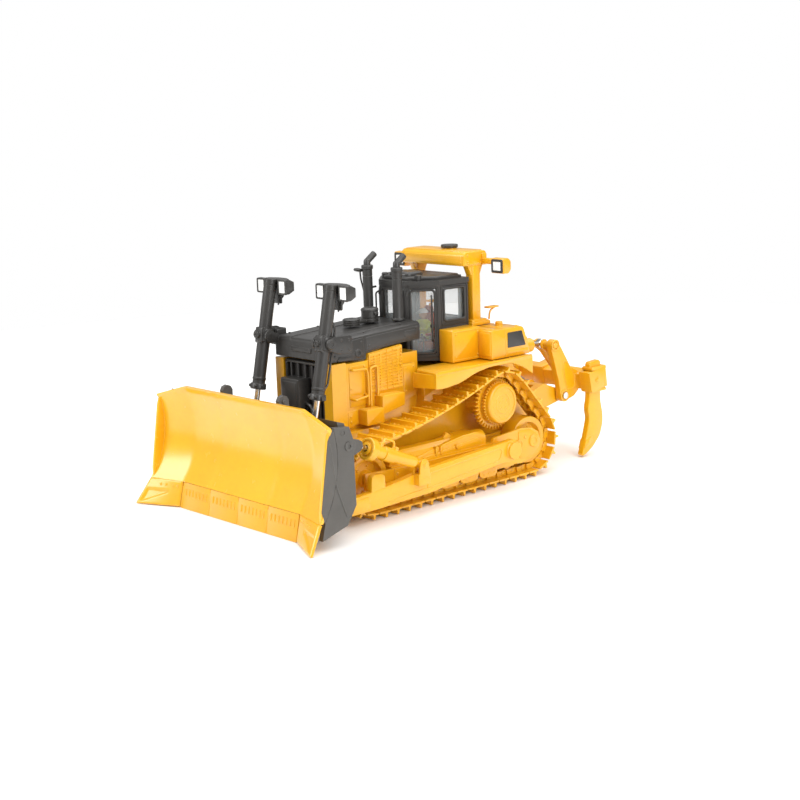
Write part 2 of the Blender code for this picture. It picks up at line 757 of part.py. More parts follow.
def make_cab_inside():
    floor = upward(cab_plan(2.2), CAB_FLOOR + 0.2, CAB_FLOOR + 1.4)
    dash = box((-5.5, 5.5), (38.0, 40.2), (CAB_FLOOR + 1.0, 54.5))
    wheel = rod((0, 39.5, 54.0), (0, 42.0, 56.0), 0.5, 8)
    node("cab_console", BLACK, floor, [dash, wheel])
    cushion = box((-3.6, 3.6), (44.6, 51.6), (46.7, 50.0))
    back = along(
        [(-3.4, 49.0), (3.4, 49.0), (3.4, 60.0), (1.8, 62.0), (-1.8, 62.0), (-3.4, 60.0)], 50.4, 52.4
    )
    node("operator_seat", SEAT_RED, cushion, [back])
    torso = box((-2.6, 2.6), (47.0, 50.1), (50.3, 57.6))
    head = rod((0, 48.4, 57.2), (0, 48.4, 61.6), 1.9, 12)
    limbs = []
    for side, _ in SIDES:
        limbs.append(rod((1.4, 48.0, 51.3), (1.6, 44.0, 51.2), 0.9, 8, side))
        limbs.append(rod((2.6, 48.4, 56.6), (3.6, 45.4, 54.2), 0.8, 8, side))
        limbs.append(rod((3.6, 45.6, 54.3), (1.6, 43.0, 55.6), 0.7, 8, side))
    node("operator_figure", CLOTHES, torso, [head, *limbs])


# ---------------------------------------------------------------- roll-over frame, fenders, tanks
def make_rops():
    beam = box((-ROPS_HALF, ROPS_HALF), (ROPS_FRONT, ROPS_REAR), (ROPS_BOTTOM, ROPS_TOP))
    joined = []
    for side, _ in SIDES:
        post = (PLINTH_TOP - 1, ROPS_BOTTOM + 1)
        joined.append(box((POST_INNER, 15.9), (POST_FRONT, POST_REAR), post, side))
        joined.append(box((11.6, 16.7), (CAB_REAR + GAP, 66.0), (DECK_TOP + GAP, PLINTH_TOP), side))
        arm = (ROPS_BOTTOM + 0.2, ROPS_BOTTOM + 2.4)
        joined.append(box((15.0, 23.0), (62.2, 64.4), arm, side))
        lamp = (ROPS_BOTTOM - 2.8, ROPS_BOTTOM + 2.8)
        joined.append(box((22.2, 28.4), (60.6, 65.4), lamp, side))
    joined.append(rod((*ROOF_CAP, ROPS_TOP - 0.4), (*ROOF_CAP, ROPS_TOP + 0.8), 2.6, 16))
    joined.append(rod((*ROOF_CAP, ROPS_TOP + 0.6), (*ROOF_CAP, ROPS_TOP + 1.8), 3.1, 16))
    node("rops_frame", YELLOW, beam, joined)


def make_fender(side, word):
    plan = [
        (FENDER_INNER, 30.0),
        (20.0, 26.0),
        (FENDER_OUTER, FENDER_FRONT),
        (FENDER_OUTER, FENDER_REAR),
        (FENDER_INNER, FENDER_REAR),
    ]
    top = upward(plan, PLATFORM_TOP - 1.2, PLATFORM_TOP, side)
    skirt = [
        (FENDER_FRONT, PLATFORM_TOP - 0.4),
        (25.4, 39.6),
        (37.0, 39.9),
        (44.0, 42.2),
        (50.0, 43.1),
        (62.0, 43.1),
        (67.0, 41.4),
        (70.5, 38.6),
        (FENDER_REAR, 38.0),
        (FENDER_REAR, PLATFORM_TOP - 0.4),
    ]
    edge = across(skirt, FENDER_OUTER - 1.2, FENDER_OUTER - 0.05, side)
    foot = across(
        [(30.6, 34.5), (36.0, 36.0), (36.0, PLATFORM_TOP - 0.5), (30.6, PLATFORM_TOP - 0.5)],
        FENDER_INNER,
        18.4,
        side,
    )
    node(f"fender_{word}", YELLOW, top, [edge, foot])


def make_tank(name, side):
    base = PLATFORM_TOP + GAP
    inner = CAB_HALF + GAP
    narrow = box((inner, TANK_STEP), (41.4, 55.4), (base, 56.2), side)
    rear = [(54.0, base), (73.6, base), (70.4, DECK_TOP - 0.1), (54.0, DECK_TOP - 0.1)]
    wide = across(rear, 16.9 + GAP, TANK_OUTER, side)
    neck = rod((22.6, 64.0, 54.6), (22.6, 64.0, 57.0), 1.4, 10, side)
    node(name, YELLOW, narrow, [wide, neck])


# ---------------------------------------------------------------- blade
def moldboard_face(x, share):
    """The (y, z) of the blade's face: an arc from foot to lip, carried forward on the wings."""
    wing = max(0.0, (abs(x) - BLADE_CREASE) / (BLADE_HALF - BLADE_CREASE))
    lip = BLADE_LIP + wing * (WING_LIP - BLADE_LIP)
    foot = BLADE_FOOT + wing * (WING_FOOT - BLADE_FOOT)
    top = BLADE_TOP + wing * (BLADE_CORNER_TOP - BLADE_TOP)
    bow = BLADE_CURVE * (1 - 0.35 * wing) * 4 * share * (1 - share)
    return foot + share * (lip - foot) + bow, BLADE_EDGE_TOP + share * (top - BLADE_EDGE_TOP)


def make_moldboard():
    stations = [-BLADE_HALF, -BLADE_CREASE, BLADE_CREASE, BLADE_HALF]
    shares = np.linspace(0, 1, 11)
    work = bmesh.new()
    grid = [[work.verts.new((x, *moldboard_face(x, s))) for s in shares] for x in stations]
    for a, b in zip(grid, grid[1:]):
        for i in range(len(shares) - 1):
            work.faces.new((a[i], b[i], b[i + 1], a[i + 1]))
    mesh = bpy.data.meshes.new("moldboard")
    work.to_mesh(mesh)
    work.free()
    plate = node("blade_moldboard", YELLOW, solid(mesh, 1), pivot=at(0, BLADE_PIN))
    wall = plate.modifiers.new("wall", "SOLIDIFY")
    wall.thickness = BLADE_SKIN * MM
    wall.offset = -1


def make_blade_back():
    depth = BLADE_SKIN * BACK_SLOPE + GAP
    inner = BLADE_HALF - 1.7
    front = []
    for share in np.linspace(0, 0.92, 6):
        y, z = moldboard_face(0, share)
        front.append((y + depth, z))
    beam = across([*front, (-28.0, 38.2), (-25.6, 31.0), (-25.6, 14.0), (-34.0, 8.9)], -inner, inner)
    joined = []
    for side, _ in SIDES:
        edge = []
        for share in np.linspace(0, 1, 6):
            y, z = moldboard_face(BLADE_HALF, share)
            edge.append((y + depth + 0.2, z))
        plate = [
            (-39.6, 3.4),
            *edge,
            (-27.4, 37.2),
            *arc((-27.0, 31.2), 2.2, 60, -60, 3),
            (-25.6, 12.2),
            (-29.4, 6.4),
        ]
        joined.append(across(plate, BLADE_HALF - 1.9, BLADE_HALF, side))
        ear = [(-27.0, 14.0), *arc(LIFT_EYE, 2.4, -70, 70, 3), (-27.0, 27.0)]
        tilt_ear = [(-27.0, 23.5), *arc(TILT_EYE, 2.0, -60, 80, 3), (-27.0, 33.0)]
        hinge_ear = [(-31.0, 12.8), (-33.0, 9.4), *arc(BLADE_PIN, 2.6, -120, 70, 4)]
        for half in (-1, 1):
            cheek = sorted((LIFT_X + half * 1.4, LIFT_X + half * 2.2))
            joined.append(across(ear, *cheek, side))
            cheek = sorted((TILT_X + half * 1.3, TILT_X + half * 2.0))
            joined.append(across(tilt_ear, *cheek, side))
            middle = (ARM_INNER + ARM_OUTER) / 2
            reach = (ARM_OUTER - ARM_INNER) / 2 + GAP
            cheek = sorted((middle + half * reach, middle + half * (reach + 0.9)))
            joined.append(across(hinge_ear, *cheek, side))
        joined.append(pin(BLADE_PIN, BLADE_PIN_RADIUS, ARM_INNER - 0.8, ARM_OUTER + 0.8, 10, side))
        handle = [(-29.2, 33.0), (-26.6, 33.0), *arc((-28.6, 41.4), 2.1, 10, 170, 4)]
        joined.append(across(handle, 14.4, 16.0, side))
    node("blade_back", BLACK, beam, joined, pivot=at(0, BLADE_PIN))


def make_cutting_edges():
    top = BLADE_EDGE_TOP - BLADE_SKIN / 2 - GAP
    profile = [
        (-38.5, 0.0),
        (-38.1, 0.0),
        (BLADE_FOOT + 0.9, top),
        (BLADE_FOOT - 0.1, top),
    ]
    edge = across(profile, -BLADE_CREASE + GAP, BLADE_CREASE - GAP)
    node("cutting_edge", YELLOW, edge, pivot=at(0, BLADE_PIN))
    for side, word in SIDES:
        tip_x, tip_y = END_BIT_TIP
        plan = [
            (BLADE_CREASE, -38.6),
            (BLADE_CREASE + 2.6, -39.2),
            (tip_x, tip_y),
            (tip_x - 0.1, tip_y + 2.6),
            (BLADE_HALF - 0.2, WING_FOOT - 0.2),
            (BLADE_CREASE, BLADE_FOOT - 0.7),
        ]
        bit = upward(plan, 0.0, 3.0, side)
        upper = upward(
            [
                (BLADE_CREASE, -38.2),
                (BLADE_HALF, WING_FOOT - 2.6),
                (BLADE_HALF, WING_FOOT - 0.3),
                (BLADE_CREASE, BLADE_FOOT - 0.8),
            ],
            2.0,
            top,
            side,
        )
        node(f"end_bit_{word}", YELLOW, bit, [upper], pivot=at(0, BLADE_PIN))


def make_push_arm(side, word):
    outline = [
        *arc(TRUNNION, 3.7, -100, 100, 8),
        (12.0, 14.6),
        (-5.7, 12.2),
        (-14.0, 11.4),
        *arc(BLADE_PIN, 2.5, 80, 280, 8),
        (-9.0, 5.6),
        (14.0, 6.4),
        (48.0, 10.0),
    ]
    plate = across(outline, ARM_INNER, ARM_OUTER, side)
    block = across([(-11.4, 9.0), (-5.2, 9.0), (-5.2, 16.4), (-10.6, 17.2)], 34.8, 37.2, side)
    seat = box((36.0, TILT_X + 1.9), (7.2, 12.4), (10.4, 14.4), side)
    ears = []
    for half in (-1, 1):
        cheek = sorted((TILT_X + half * 1.1, TILT_X + half * 1.9))
        ears.append(across([(7.8, 13.0), *arc(TILT_PIVOT, 1.9, -20, 200, 6)], *cheek, side))
    ears.append(pin(TILT_PIVOT, 0.8, TILT_X - 1.5, TILT_X + 1.5, 10, side))
    holes = [
        pin(TRUNNION, TRUNNION_RADIUS + RUNNING, ARM_INNER - 1, ARM_OUTER + 1, 10, side),
        pin(BLADE_PIN, BLADE_PIN_RADIUS + RUNNING, ARM_INNER - 1, ARM_OUTER + 1, 10, side),
    ]
    name = f"push_arm_{word}"
    node(name, YELLOW, plate, [block, seat, *ears], holes, pivot=at(0, TRUNNION))


def make_lift_cylinder(side, word):
    top = towards(LIFT_PIVOT, LIFT_EYE, -LIFT_TUBE_UP)
    mouth = towards(LIFT_PIVOT, LIFT_EYE, LIFT_TUBE_DOWN)
    barrel, bore = tube_along(
        at(LIFT_X, top), at(LIFT_X, mouth), LIFT_TUBE_RADIUS, LIFT_ROD_RADIUS + SLIDE, 1.0, side
    )
    gland_start = towards(LIFT_PIVOT, LIFT_EYE, LIFT_TUBE_DOWN - 1.8)
    gland = rod(at(LIFT_X, gland_start), at(LIFT_X, mouth), LIFT_TUBE_RADIUS + 0.5, 12, side)
    reach = LIFT_TUBE_RADIUS + 1.7
    stubs = [
        pin(LIFT_PIVOT, 0.9, LIFT_X - reach, LIFT_X - 1.5, 10, side),
        pin(LIFT_PIVOT, 0.9, LIFT_X + 1.5, LIFT_X + reach, 10, side),
    ]
    low = at(LIFT_X, towards(LIFT_PIVOT, LIFT_EYE, -1.9))
    high = at(LIFT_X, towards(LIFT_PIVOT, LIFT_EYE, 1.9))
    collar = rod(low, high, LIFT_TUBE_RADIUS + 0.4, 8, side)
    pivot = at(side * LIFT_X, LIFT_PIVOT)
    node(f"lift_cylinder_{word}", BLACK, barrel, [gland, *stubs, collar], [bore], pivot)
    length = math.dist(LIFT_PIVOT, LIFT_EYE)
    inner_end = towards(LIFT_PIVOT, LIFT_EYE, length - LIFT_ROD_LENGTH)
    outer_end = towards(LIFT_PIVOT, LIFT_EYE, length - 0.6)
    bar = rod(at(LIFT_X, inner_end), at(LIFT_X, outer_end), LIFT_ROD_RADIUS, 10, side)
    knuckle = pin(LIFT_EYE, 1.7, LIFT_X - 1.1, LIFT_X + 1.1, 10, side)
    node(f"lift_rod_{word}", STEEL, bar, [knuckle], pivot=at(side * LIFT_X, inner_end))
    back = top[0] + LIFT_TUBE_RADIUS + 0.5
    bar_rise = (top[1] - 3.6, top[1] - 0.6)
    crossbar = box((LIFT_X - 7.0, LIFT_X + 7.0), (back, back + 1.2), bar_rise, side)
    lamps = []
    for half in (-1, 1):
        span = sorted((LIFT_X + half * 3.6, LIFT_X + half * 8.0))
        lamps.append(box(span, (back - 2.6, back + 1.0), (top[1] - 5.4, top[1] - 0.2), side))
    rib = [(back + 0.6, top[1] - 8.0), (back + 0.6, top[1] - 1.2), (back + 2.8, top[1] - 1.2)]
    gusset = across(rib, LIFT_X - 0.8, LIFT_X + 0.8, side)
    node(f"lamp_bracket_{word}", BLACK, crossbar, [*lamps, gusset], pivot=pivot)


def make_tilt_cylinder(side, word):
    eye = pin(TILT_PIVOT, 1.7, TILT_X - 0.9, TILT_X + 0.9, 10, side)
    hole = pin(TILT_PIVOT, 0.8 + RUNNING, TILT_X - 3, TILT_X + 3, 10, side)
    gland_start = towards(TILT_PIVOT, TILT_EYE, TILT_TUBE_LENGTH - 3.0)
    gland_end = towards(TILT_PIVOT, TILT_EYE, TILT_TUBE_LENGTH - 0.3)
    flange = rod(at(TILT_X, gland_start), at(TILT_X, gland_end), 3.7, 16, side)
    mouth = towards(TILT_PIVOT, TILT_EYE, TILT_TUBE_LENGTH)
    past = towards(TILT_PIVOT, TILT_EYE, TILT_TUBE_LENGTH + 1)
    clear = towards(TILT_PIVOT, TILT_EYE, 9.0)
    bore = rod(at(TILT_X, clear), at(TILT_X, past), TILT_ROD_RADIUS + SLIDE, 10, side)
    neck = rod(at(TILT_X, TILT_PIVOT), at(TILT_X, towards(TILT_PIVOT, TILT_EYE, 4.2)), 0.85, 8, side)
    start = towards(TILT_PIVOT, TILT_EYE, 3.0)
    barrel = rod(at(TILT_X, start), at(TILT_X, mouth), TILT_TUBE_RADIUS, 10, side)
    name = f"tilt_cylinder_{word}"
    node(name, YELLOW, barrel, [flange, neck, eye], [bore, hole], pivot=at(side * TILT_X, TILT_PIVOT))
    reach = math.dist(TILT_PIVOT, TILT_EYE)
    inner_end = towards(TILT_PIVOT, TILT_EYE, reach - TILT_ROD_LENGTH)
    outer_end = towards(TILT_PIVOT, TILT_EYE, reach - 0.6)
    bar = rod(at(TILT_X, inner_end), at(TILT_X, outer_end), TILT_ROD_RADIUS, 10, side)
    knuckle = pin(TILT_EYE, 1.6, TILT_X - 1.0, TILT_X + 1.0, 10, side)
    node(f"tilt_rod_{word}", STEEL, bar, [knuckle], pivot=at(side * TILT_X, inner_end))


# ---------------------------------------------------------------- ripper
def make_ripper_frame():
    plate = across(
        [
            *arc(RIPPER_LINK_PIVOT, 2.3, 110, 250, 4),
            (93.0, 19.6),
            *arc(RIPPER_PIN, 2.3, -90, 90, 4),
            (94.0, 29.2),
        ],
        -RIPPER_LINK_HALF,
        RIPPER_LINK_HALF,
    )
    clear = box((-12.9, 12.9), (80.0, 92.2), (15.0, 35.0))
    cuts = [
        clear,
        pin(RIPPER_LINK_PIVOT, 1.2 + RUNNING, -20, 20, 12),
        pin(RIPPER_PIN, RIPPER_PIN_RADIUS + RUNNING, -20, 20, 12),
    ]
    lugs = []
    for side, _ in SIDES:
        for half in (-1, 1):
            cheek = sorted((RIPPER_LIFT_X + half * 1.35, RIPPER_LIFT_X + half * 2.1))
            ear = [(93.2, 25.0), (98.0, 25.0), *arc(RIPPER_LIFT_EYE, 1.9, 0, 180, 5)]
            lugs.append(across(ear, *cheek, side))
        cuts.append(
            box((RIPPER_LIFT_X - 1.35, RIPPER_LIFT_X + 1.35), (80.0, 97.6), (25.2, 36.0), side)
        )
    node("ripper_frame", YELLOW, plate, lugs, cuts, pivot=at(0, RIPPER_LINK_PIVOT))
    shaft = pin(RIPPER_PIN, RIPPER_PIN_RADIUS, -19.9, 19.9, 12)
    node("ripper_pivot_pin", STEEL, shaft, pivot=at(0, RIPPER_PIN))


SHANK_OUTLINE = [
    (109.9, 35.2),
    (109.6, 22.0),
    (109.3, 15.0),
    (107.7, 7.0),
    (105.0, 0.6),
    (106.6, 0.5),
    (112.5, 3.6),
    (116.6, 8.6),
    (117.5, 14.0),
    (116.2, 22.0),
    (116.2, 35.8),
]


def make_ripper_beam():
    outline = [
        *arc(RIPPER_PIN, 2.3, 200, 300, 5),
        (111.0, 24.6),
        (110.2, 32.6),
        *arc(RIPPER_TOP, 2.2, 40, 190, 6),
    ]
    low, high = RIPPER_PLATE
    plate = across(outline, low, high)
    joined = [across(outline, low, high, -1)]
    bar = [(108.4, 31.4), (109.8, 25.2), (115.8, 26.6), (114.6, 32.8)]
    joined.append(across(bar, -TOOLBAR_HALF, TOOLBAR_HALF))
    pocket = [(107.9, 32.4), (109.4, 24.4), (REARMOST, 25.9), (117.3, 34.2)]
    cuts = []
    for side, _ in SIDES:
        joined.append(across(pocket, POCKET_X - POCKET_HALF, POCKET_X + POCKET_HALF, side))
        slot = [(109.6, 38.0), (109.3, 20.0), (116.5, 20.0), (116.5, 38.0)]
        half = SHANK_HALF + GAP
        cuts.append(across(slot, POCKET_X - half, POCKET_X + half, side))
        cuts.append(pin(RIPPER_PIN, RIPPER_PIN_RADIUS + RUNNING, low - 1, high + 1, 10, side))
        joined.append(pin(RIPPER_TOP, 1.2, TIP_X + 1.6, low + 0.6, 10, side))
        web = [(110.5, 32.2), (109.4, 27.4), *arc(RIPPER_TOP, 2.0, 250, 60, 6)]
        for half in (-1, 1):
            cheek = sorted((TIP_X + half * 1.35, TIP_X + half * 2.0))
            joined.append(across(web, *cheek, side))
    joined.append(pin(RIPPER_TOP, 1.2, -TIP_X + 1.6, TIP_X - 1.6, 10))
    joined.append(across(pocket, -POCKET_HALF, POCKET_HALF))
    node("ripper_beam", YELLOW, plate, joined, cuts, pivot=at(0, RIPPER_PIN))
    for side, word in SIDES:
        shank = across(SHANK_OUTLINE, POCKET_X - SHANK_HALF, POCKET_X + SHANK_HALF, side)
        node(f"ripper_shank_{word}", YELLOW, shank, pivot=at(side * POCKET_X, RIPPER_PIN))


def make_ripper_cylinder(words, x, pivot, eye, tube, bar_size, side):
    """A short barrel with an eye at its pivot, and a rod with an eye at its far end."""
    tube_radius, tube_length = tube
    bar_radius, bar_length, eye_radius, pin_radius = bar_size
    reach = math.dist(pivot, eye)
    start = at(x, towards(pivot, eye, eye_radius + 0.3))
    mouth = at(x, towards(pivot, eye, tube_length))
    past = at(x, towards(pivot, eye, tube_length + 1))
    blind = at(x, towards(pivot, eye, eye_radius + 0.5))
    barrel = rod(start, mouth, tube_radius, 10, side)
    neck = rod(at(x, pivot), at(x, towards(pivot, eye, eye_radius + 0.6)), 0.95, 8, side)
    knuckle = pin(pivot, eye_radius, x - 1.05, x + 1.05, 10, side)
    hole = pin(pivot, pin_radius + RUNNING, x - 4, x + 4, 10, side)
    bore = rod(blind, past, bar_radius + SLIDE, 10, side)
    node(words[0], YELLOW, barrel, [neck, knuckle], [bore, hole], pivot=at(side * x, pivot))
    inner_end = towards(pivot, eye, reach - bar_length)
    bar = rod(at(x, inner_end), at(x, towards(pivot, eye, reach - 0.5)), bar_radius, 10, side)
    eye_disc = pin(eye, eye_radius - 0.1, x - 1.05, x + 1.05, 10, side)
    node(words[1], STEEL, bar, [eye_disc], pivot=at(side * x, inner_end))


def make_ripper_cylinders(side, word):
    make_ripper_cylinder(
        (f"ripper_tip_cylinder_{word}", f"ripper_tip_rod_{word}"),
        TIP_X,
        TIP_PIVOT,
        RIPPER_TOP,
        (TIP_TUBE_RADIUS, TIP_TUBE_LENGTH),
        (TIP_ROD_RADIUS, TIP_ROD_LENGTH, 1.9, 0.9),
        side,
    )
    make_ripper_cylinder(
        (f"ripper_lift_cylinder_{word}", f"ripper_lift_rod_{word}"),
        RIPPER_LIFT_X,
        RIPPER_LIFT_PIVOT,
        RIPPER_LIFT_EYE,
        (RIPPER_LIFT_TUBE_RADIUS, RIPPER_LIFT_TUBE_LENGTH),
        (RIPPER_LIFT_ROD_RADIUS, RIPPER_LIFT_ROD_LENGTH, 1.7, 0.8),
        side,
    )


# ---------------------------------------------------------------- the machine
make_chassis()
make_hood()
make_grille()
make_precleaner()
make_cab()
make_cab_inside()
make_rops()
make_tank("fuel_tank", 1)
make_tank("hydraulic_tank", -1)
make_moldboard()
make_blade_back()
make_cutting_edges()
make_ripper_frame()
make_ripper_beam()
for hand, hand_name in SIDES:
    make_track(hand, hand_name)
    make_track_frame(hand, hand_name)
    make_sprocket(hand, hand_name)
    make_idler(f"front_idler_{hand_name}", FRONT_IDLER, hand)
    make_idler(f"rear_idler_{hand_name}", REAR_IDLER, hand)
    make_engine_panel(hand, hand_name)
    make_stack(hand, hand_name)
    make_yoke(hand, hand_name)
    make_fender(hand, hand_name)
    make_push_arm(hand, hand_name)
    make_lift_cylinder(hand, hand_name)
    make_tilt_cylinder(hand, hand_name)
    make_ripper_cylinders(hand, hand_name)
for piece in list(PARTS.objects):
    if piece is not DATUM:
        piece.parent = DATUM
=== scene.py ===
"""Looks of the toy bulldozer: painted diecast pieces built round the fixed frame.

Pieces are worked out in millimetres. Stations along Y are counted from the front of the ground
contact, as on the drawing of the machine, and piece() turns them into the frame's metres.
"""

import json
import math

import bpy
import numpy as np
from mathutils import Matrix, Vector


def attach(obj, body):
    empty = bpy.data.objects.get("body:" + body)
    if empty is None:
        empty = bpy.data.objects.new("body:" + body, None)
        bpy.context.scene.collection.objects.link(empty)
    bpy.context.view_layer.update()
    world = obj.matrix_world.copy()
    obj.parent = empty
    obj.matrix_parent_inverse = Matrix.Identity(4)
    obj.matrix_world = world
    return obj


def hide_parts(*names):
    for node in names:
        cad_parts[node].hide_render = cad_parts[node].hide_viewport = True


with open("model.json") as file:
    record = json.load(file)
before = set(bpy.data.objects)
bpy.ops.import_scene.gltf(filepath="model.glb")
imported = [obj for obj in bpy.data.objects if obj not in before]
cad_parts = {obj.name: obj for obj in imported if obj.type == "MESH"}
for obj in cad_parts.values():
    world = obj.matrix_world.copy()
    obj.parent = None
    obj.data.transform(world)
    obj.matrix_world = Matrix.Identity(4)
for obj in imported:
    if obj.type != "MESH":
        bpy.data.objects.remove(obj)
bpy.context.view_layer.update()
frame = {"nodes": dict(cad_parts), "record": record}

MM = 0.001
CENTRE_STATION = 35.8
SIDES = ((1, "left"), (-1, "right"))

TRACK_CENTRE = 25.5
SHOE_PITCH = 5.2
FRONT_IDLER = (-5.0, 13.3)
REAR_IDLER = (72.0, 13.3)
SPROCKET = (57.5, 29.1)
BLADE_HALF = 46.5
BLADE_CREASE = 32.0
LIFT_PIVOT = (-11.0, 58.0)
LIFT_EYE = (-19.0, 20.0)
LIFT_X = 16.0
TILT_PIVOT = (9.9, 17.3)
TILT_EYE = (-18.5, 28.7)
TILT_X = 38.0
TRUNNION = (54.6, 13.8)
BLADE_PIN = (-25.0, 8.0)
RIPPER_PIN = (102.4, 23.8)
RIPPER_TOP = (97.4, 43.6)
TIP_PIVOT = (82.5, 44.3)
TIP_X = 12.0
PANEL_FACE = 14.6
RAIL = 47.4


# ------------------------------------------------------------------ shapes from arrays
def quads(rows, columns, around=False, along=False):
    """Faces over a grid of points listed row by row, closed around and along where asked."""
    i, j = np.meshgrid(
        np.arange(rows if along else rows - 1),
        np.arange(columns if around else columns - 1),
        indexing="ij",
    )
    after_i = (i + 1) % rows
    after_j = (j + 1) % columns
    corners = [i * columns + j, i * columns + after_j, after_i * columns + after_j, after_i * columns + j]
    return np.stack(corners, -1).reshape(-1, 4)


def facing_out(points, faces):
    """The faces of a closed shape, turned over if the volume they enclose comes out negative."""
    volume = 0.0
    for block in faces:
        for k in range(1, block.shape[1] - 1):
            wedge = np.cross(points[block[:, k]], points[block[:, k + 1]])
            volume += (points[block[:, 0]] * wedge).sum()
    return faces if volume > 0 else [block[:, ::-1] for block in faces]


def carried(rings, joined=False):
    """A closed skin: each ring of points is joined to the next, and the end rings are filled."""
    rows, columns = rings.shape[:2]
    points = rings.reshape(-1, 3)
    faces = [quads(rows, columns, True, joined)]
    if not joined:
        ends = np.arange(columns)[None]
        faces += [ends[:, ::-1], (rows - 1) * columns + ends]
    return points, facing_out(points, faces)


def corner_lean(outline):
    """Inward direction at each corner: the mean of its edges' normals, longer where it is sharp."""
    ahead = np.roll(outline, -1, 0) - outline
    ahead /= np.linalg.norm(ahead, axis=1, keepdims=True)
    normal = np.column_stack([-ahead[:, 1], ahead[:, 0]])
    after = np.roll(outline, -1, 0)
    area = (outline[:, 0] * after[:, 1] - outline[:, 1] * after[:, 0]).sum()
    mean = (normal + np.roll(normal, 1, 0)) * np.sign(area)
    return mean / np.maximum((mean**2).sum(1, keepdims=True) / 2, 0.35)


LAYOUT = {"yz": (2, 0, 1), "xz": (0, 2, 1), "xy": (0, 1, 2)}


def slab(outline, low, high, edge=0.15, plane="yz", steps=2):
    """A flat outline given thickness, its two rims a quarter circle: at angle t the ring is
    drawn in by edge (1 - sin t) and stands edge (1 - cos t) from the face."""
    outline = np.asarray(outline, float)
    edge = min(edge, (high - low) / 2.01)
    turn = np.radians(np.linspace(0, 90, steps + 1))
    draw = edge * (1 - np.sin(turn))
    rise = edge * (1 - np.cos(turn))
    draw = np.concatenate([draw, draw[::-1]])
    height = np.concatenate([low + rise, high - rise[::-1]])
    rings = outline[None] + corner_lean(outline)[None] * draw[:, None, None]
    height = np.broadcast_to(height[:, None, None], rings.shape[:2] + (1,))
    return carried(np.concatenate([rings, height], -1)[..., LAYOUT[plane]])


def rounded(a, b, radius, steps=3):
    """A rectangle from a[0] to a[1] and b[0] to b[1] whose corners are quarter circles."""
    turn = np.radians(np.linspace(0, 90, steps + 1))
    corners = []
    centres = ((a[1], b[1]), (a[0], b[1]), (a[0], b[0]), (a[1], b[0]))
    for quarter, (ca, cb) in enumerate(centres):
        inward = np.array([1 if ca == a[0] else -1, 1 if cb == b[0] else -1]) * radius
        angle = turn + quarter * math.pi / 2
        corners.append(np.column_stack([np.cos(angle), np.sin(angle)]) * radius + (ca, cb) + inward)
    return np.vstack(corners)


def brick(x, y, z, edge=0.2, corner=0.3, plane="yz"):
    """A block with rounded corners and rims, its rounded rectangle lying in the given plane."""
    spans = {"x": x, "y": y, "z": z}
    across = ({"x", "y", "z"} - set(plane)).pop()
    outline = rounded(spans[plane[0]], spans[plane[1]], corner)
    return slab(outline, *spans[across], edge, plane)


def ring_of(centre, radius, start=0.0, end=360.0, steps=12):
    """Points of an arc in a plane, angles in degrees."""
    angle = np.radians(np.linspace(start, end, steps + 1))
    return np.column_stack([np.cos(angle), np.sin(angle)]) * radius + centre


def square_to(axis):
    """Two directions square to the axis and to each other."""
    axis = np.asarray(axis, float) / np.linalg.norm(axis)
    guide = np.array([1.0, 0, 0]) if abs(axis[0]) < 0.8 else np.array([0, 1.0, 0])
    first = np.cross(axis, guide)
    first /= np.linalg.norm(first)
    return axis, first, np.cross(axis, first)


def lathe(profile, origin, axis=(1, 0, 0), sides=24):
    """A profile of (radius, height) turned about an axis:
    origin + radius (cos t u + sin t v) + height axis."""
    profile = np.asarray(profile, float)
    axis, u, v = square_to(axis)
    turn = np.arange(sides) * 2 * math.pi / sides
    circle = np.cos(turn)[:, None] * u + np.sin(turn)[:, None] * v
    rings = profile[:, :1, None] * circle[None] + profile[:, 1:, None] * axis
    return carried(rings + np.asarray(origin, float))


def lathe_ring(profile, origin, axis=(1, 0, 0), sides=32):
    """A closed profile of (radius, height) turned about an axis, which leaves the middle open."""
    profile = np.asarray(profile, float)
    axis, u, v = square_to(axis)
    turn = np.arange(sides) * 2 * math.pi / sides
    circle = np.cos(turn)[:, None] * u + np.sin(turn)[:, None] * v
    rings = circle[:, None] * profile[None, :, :1] + axis * profile[None, :, 1:]
    return carried(rings + np.asarray(origin, float), joined=True)


def tube(path, radius, sides=10, closed=False):
    """A round bar: centre + radius (cos t n + sin t b), n and b square to the path."""
    path = np.asarray(path, float)
    if closed:
        ahead = np.roll(path, -1, 0) - np.roll(path, 1, 0)
    else:
        ahead = np.gradient(path, axis=0)
    ahead /= np.linalg.norm(ahead, axis=1, keepdims=True)
    lean = np.linalg.svd(path - path.mean(0))[2][-1]
    first = np.cross(ahead, lean)
    first /= np.linalg.norm(first, axis=1, keepdims=True)
    second = np.cross(ahead, first)
    turn = np.arange(sides) * 2 * math.pi / sides
    radius = np.broadcast_to(np.asarray(radius, float), (len(path),))[:, None, None]
    spokes = np.cos(turn)[:, None] * first[:, None] + np.sin(turn)[:, None] * second[:, None]
    return carried(path[:, None] + radius * spokes, closed)


def bent(corners, radius, steps=4):
    """A path through corners, each rounded by the curve (1-t)^2 a + 2t(1-t) c + t^2 b."""
    corners = np.asarray(corners, float)
    share = np.linspace(0, 1, steps + 1)[:, None]
    path = [corners[:1]]
    for before, corner, after in zip(corners, corners[1:], corners[2:]):
        start = corner + (before - corner) * min(radius / np.linalg.norm(before - corner), 0.45)
        end = corner + (after - corner) * min(radius / np.linalg.norm(after - corner), 0.45)
        path.append(start * (1 - share) ** 2 + corner * 2 * share * (1 - share) + end * share**2)
    return np.vstack([*path, corners[-1:]])


def joined(shapes):
    """Several shapes as one: points in a row, faces counted on from those before."""
    points = []
    faces = []
    count = 0
    for shape_points, shape_faces in shapes:
        points.append(shape_points)
        faces += [block + count for block in shape_faces]
        count += len(shape_points)
    return np.vstack(points), faces


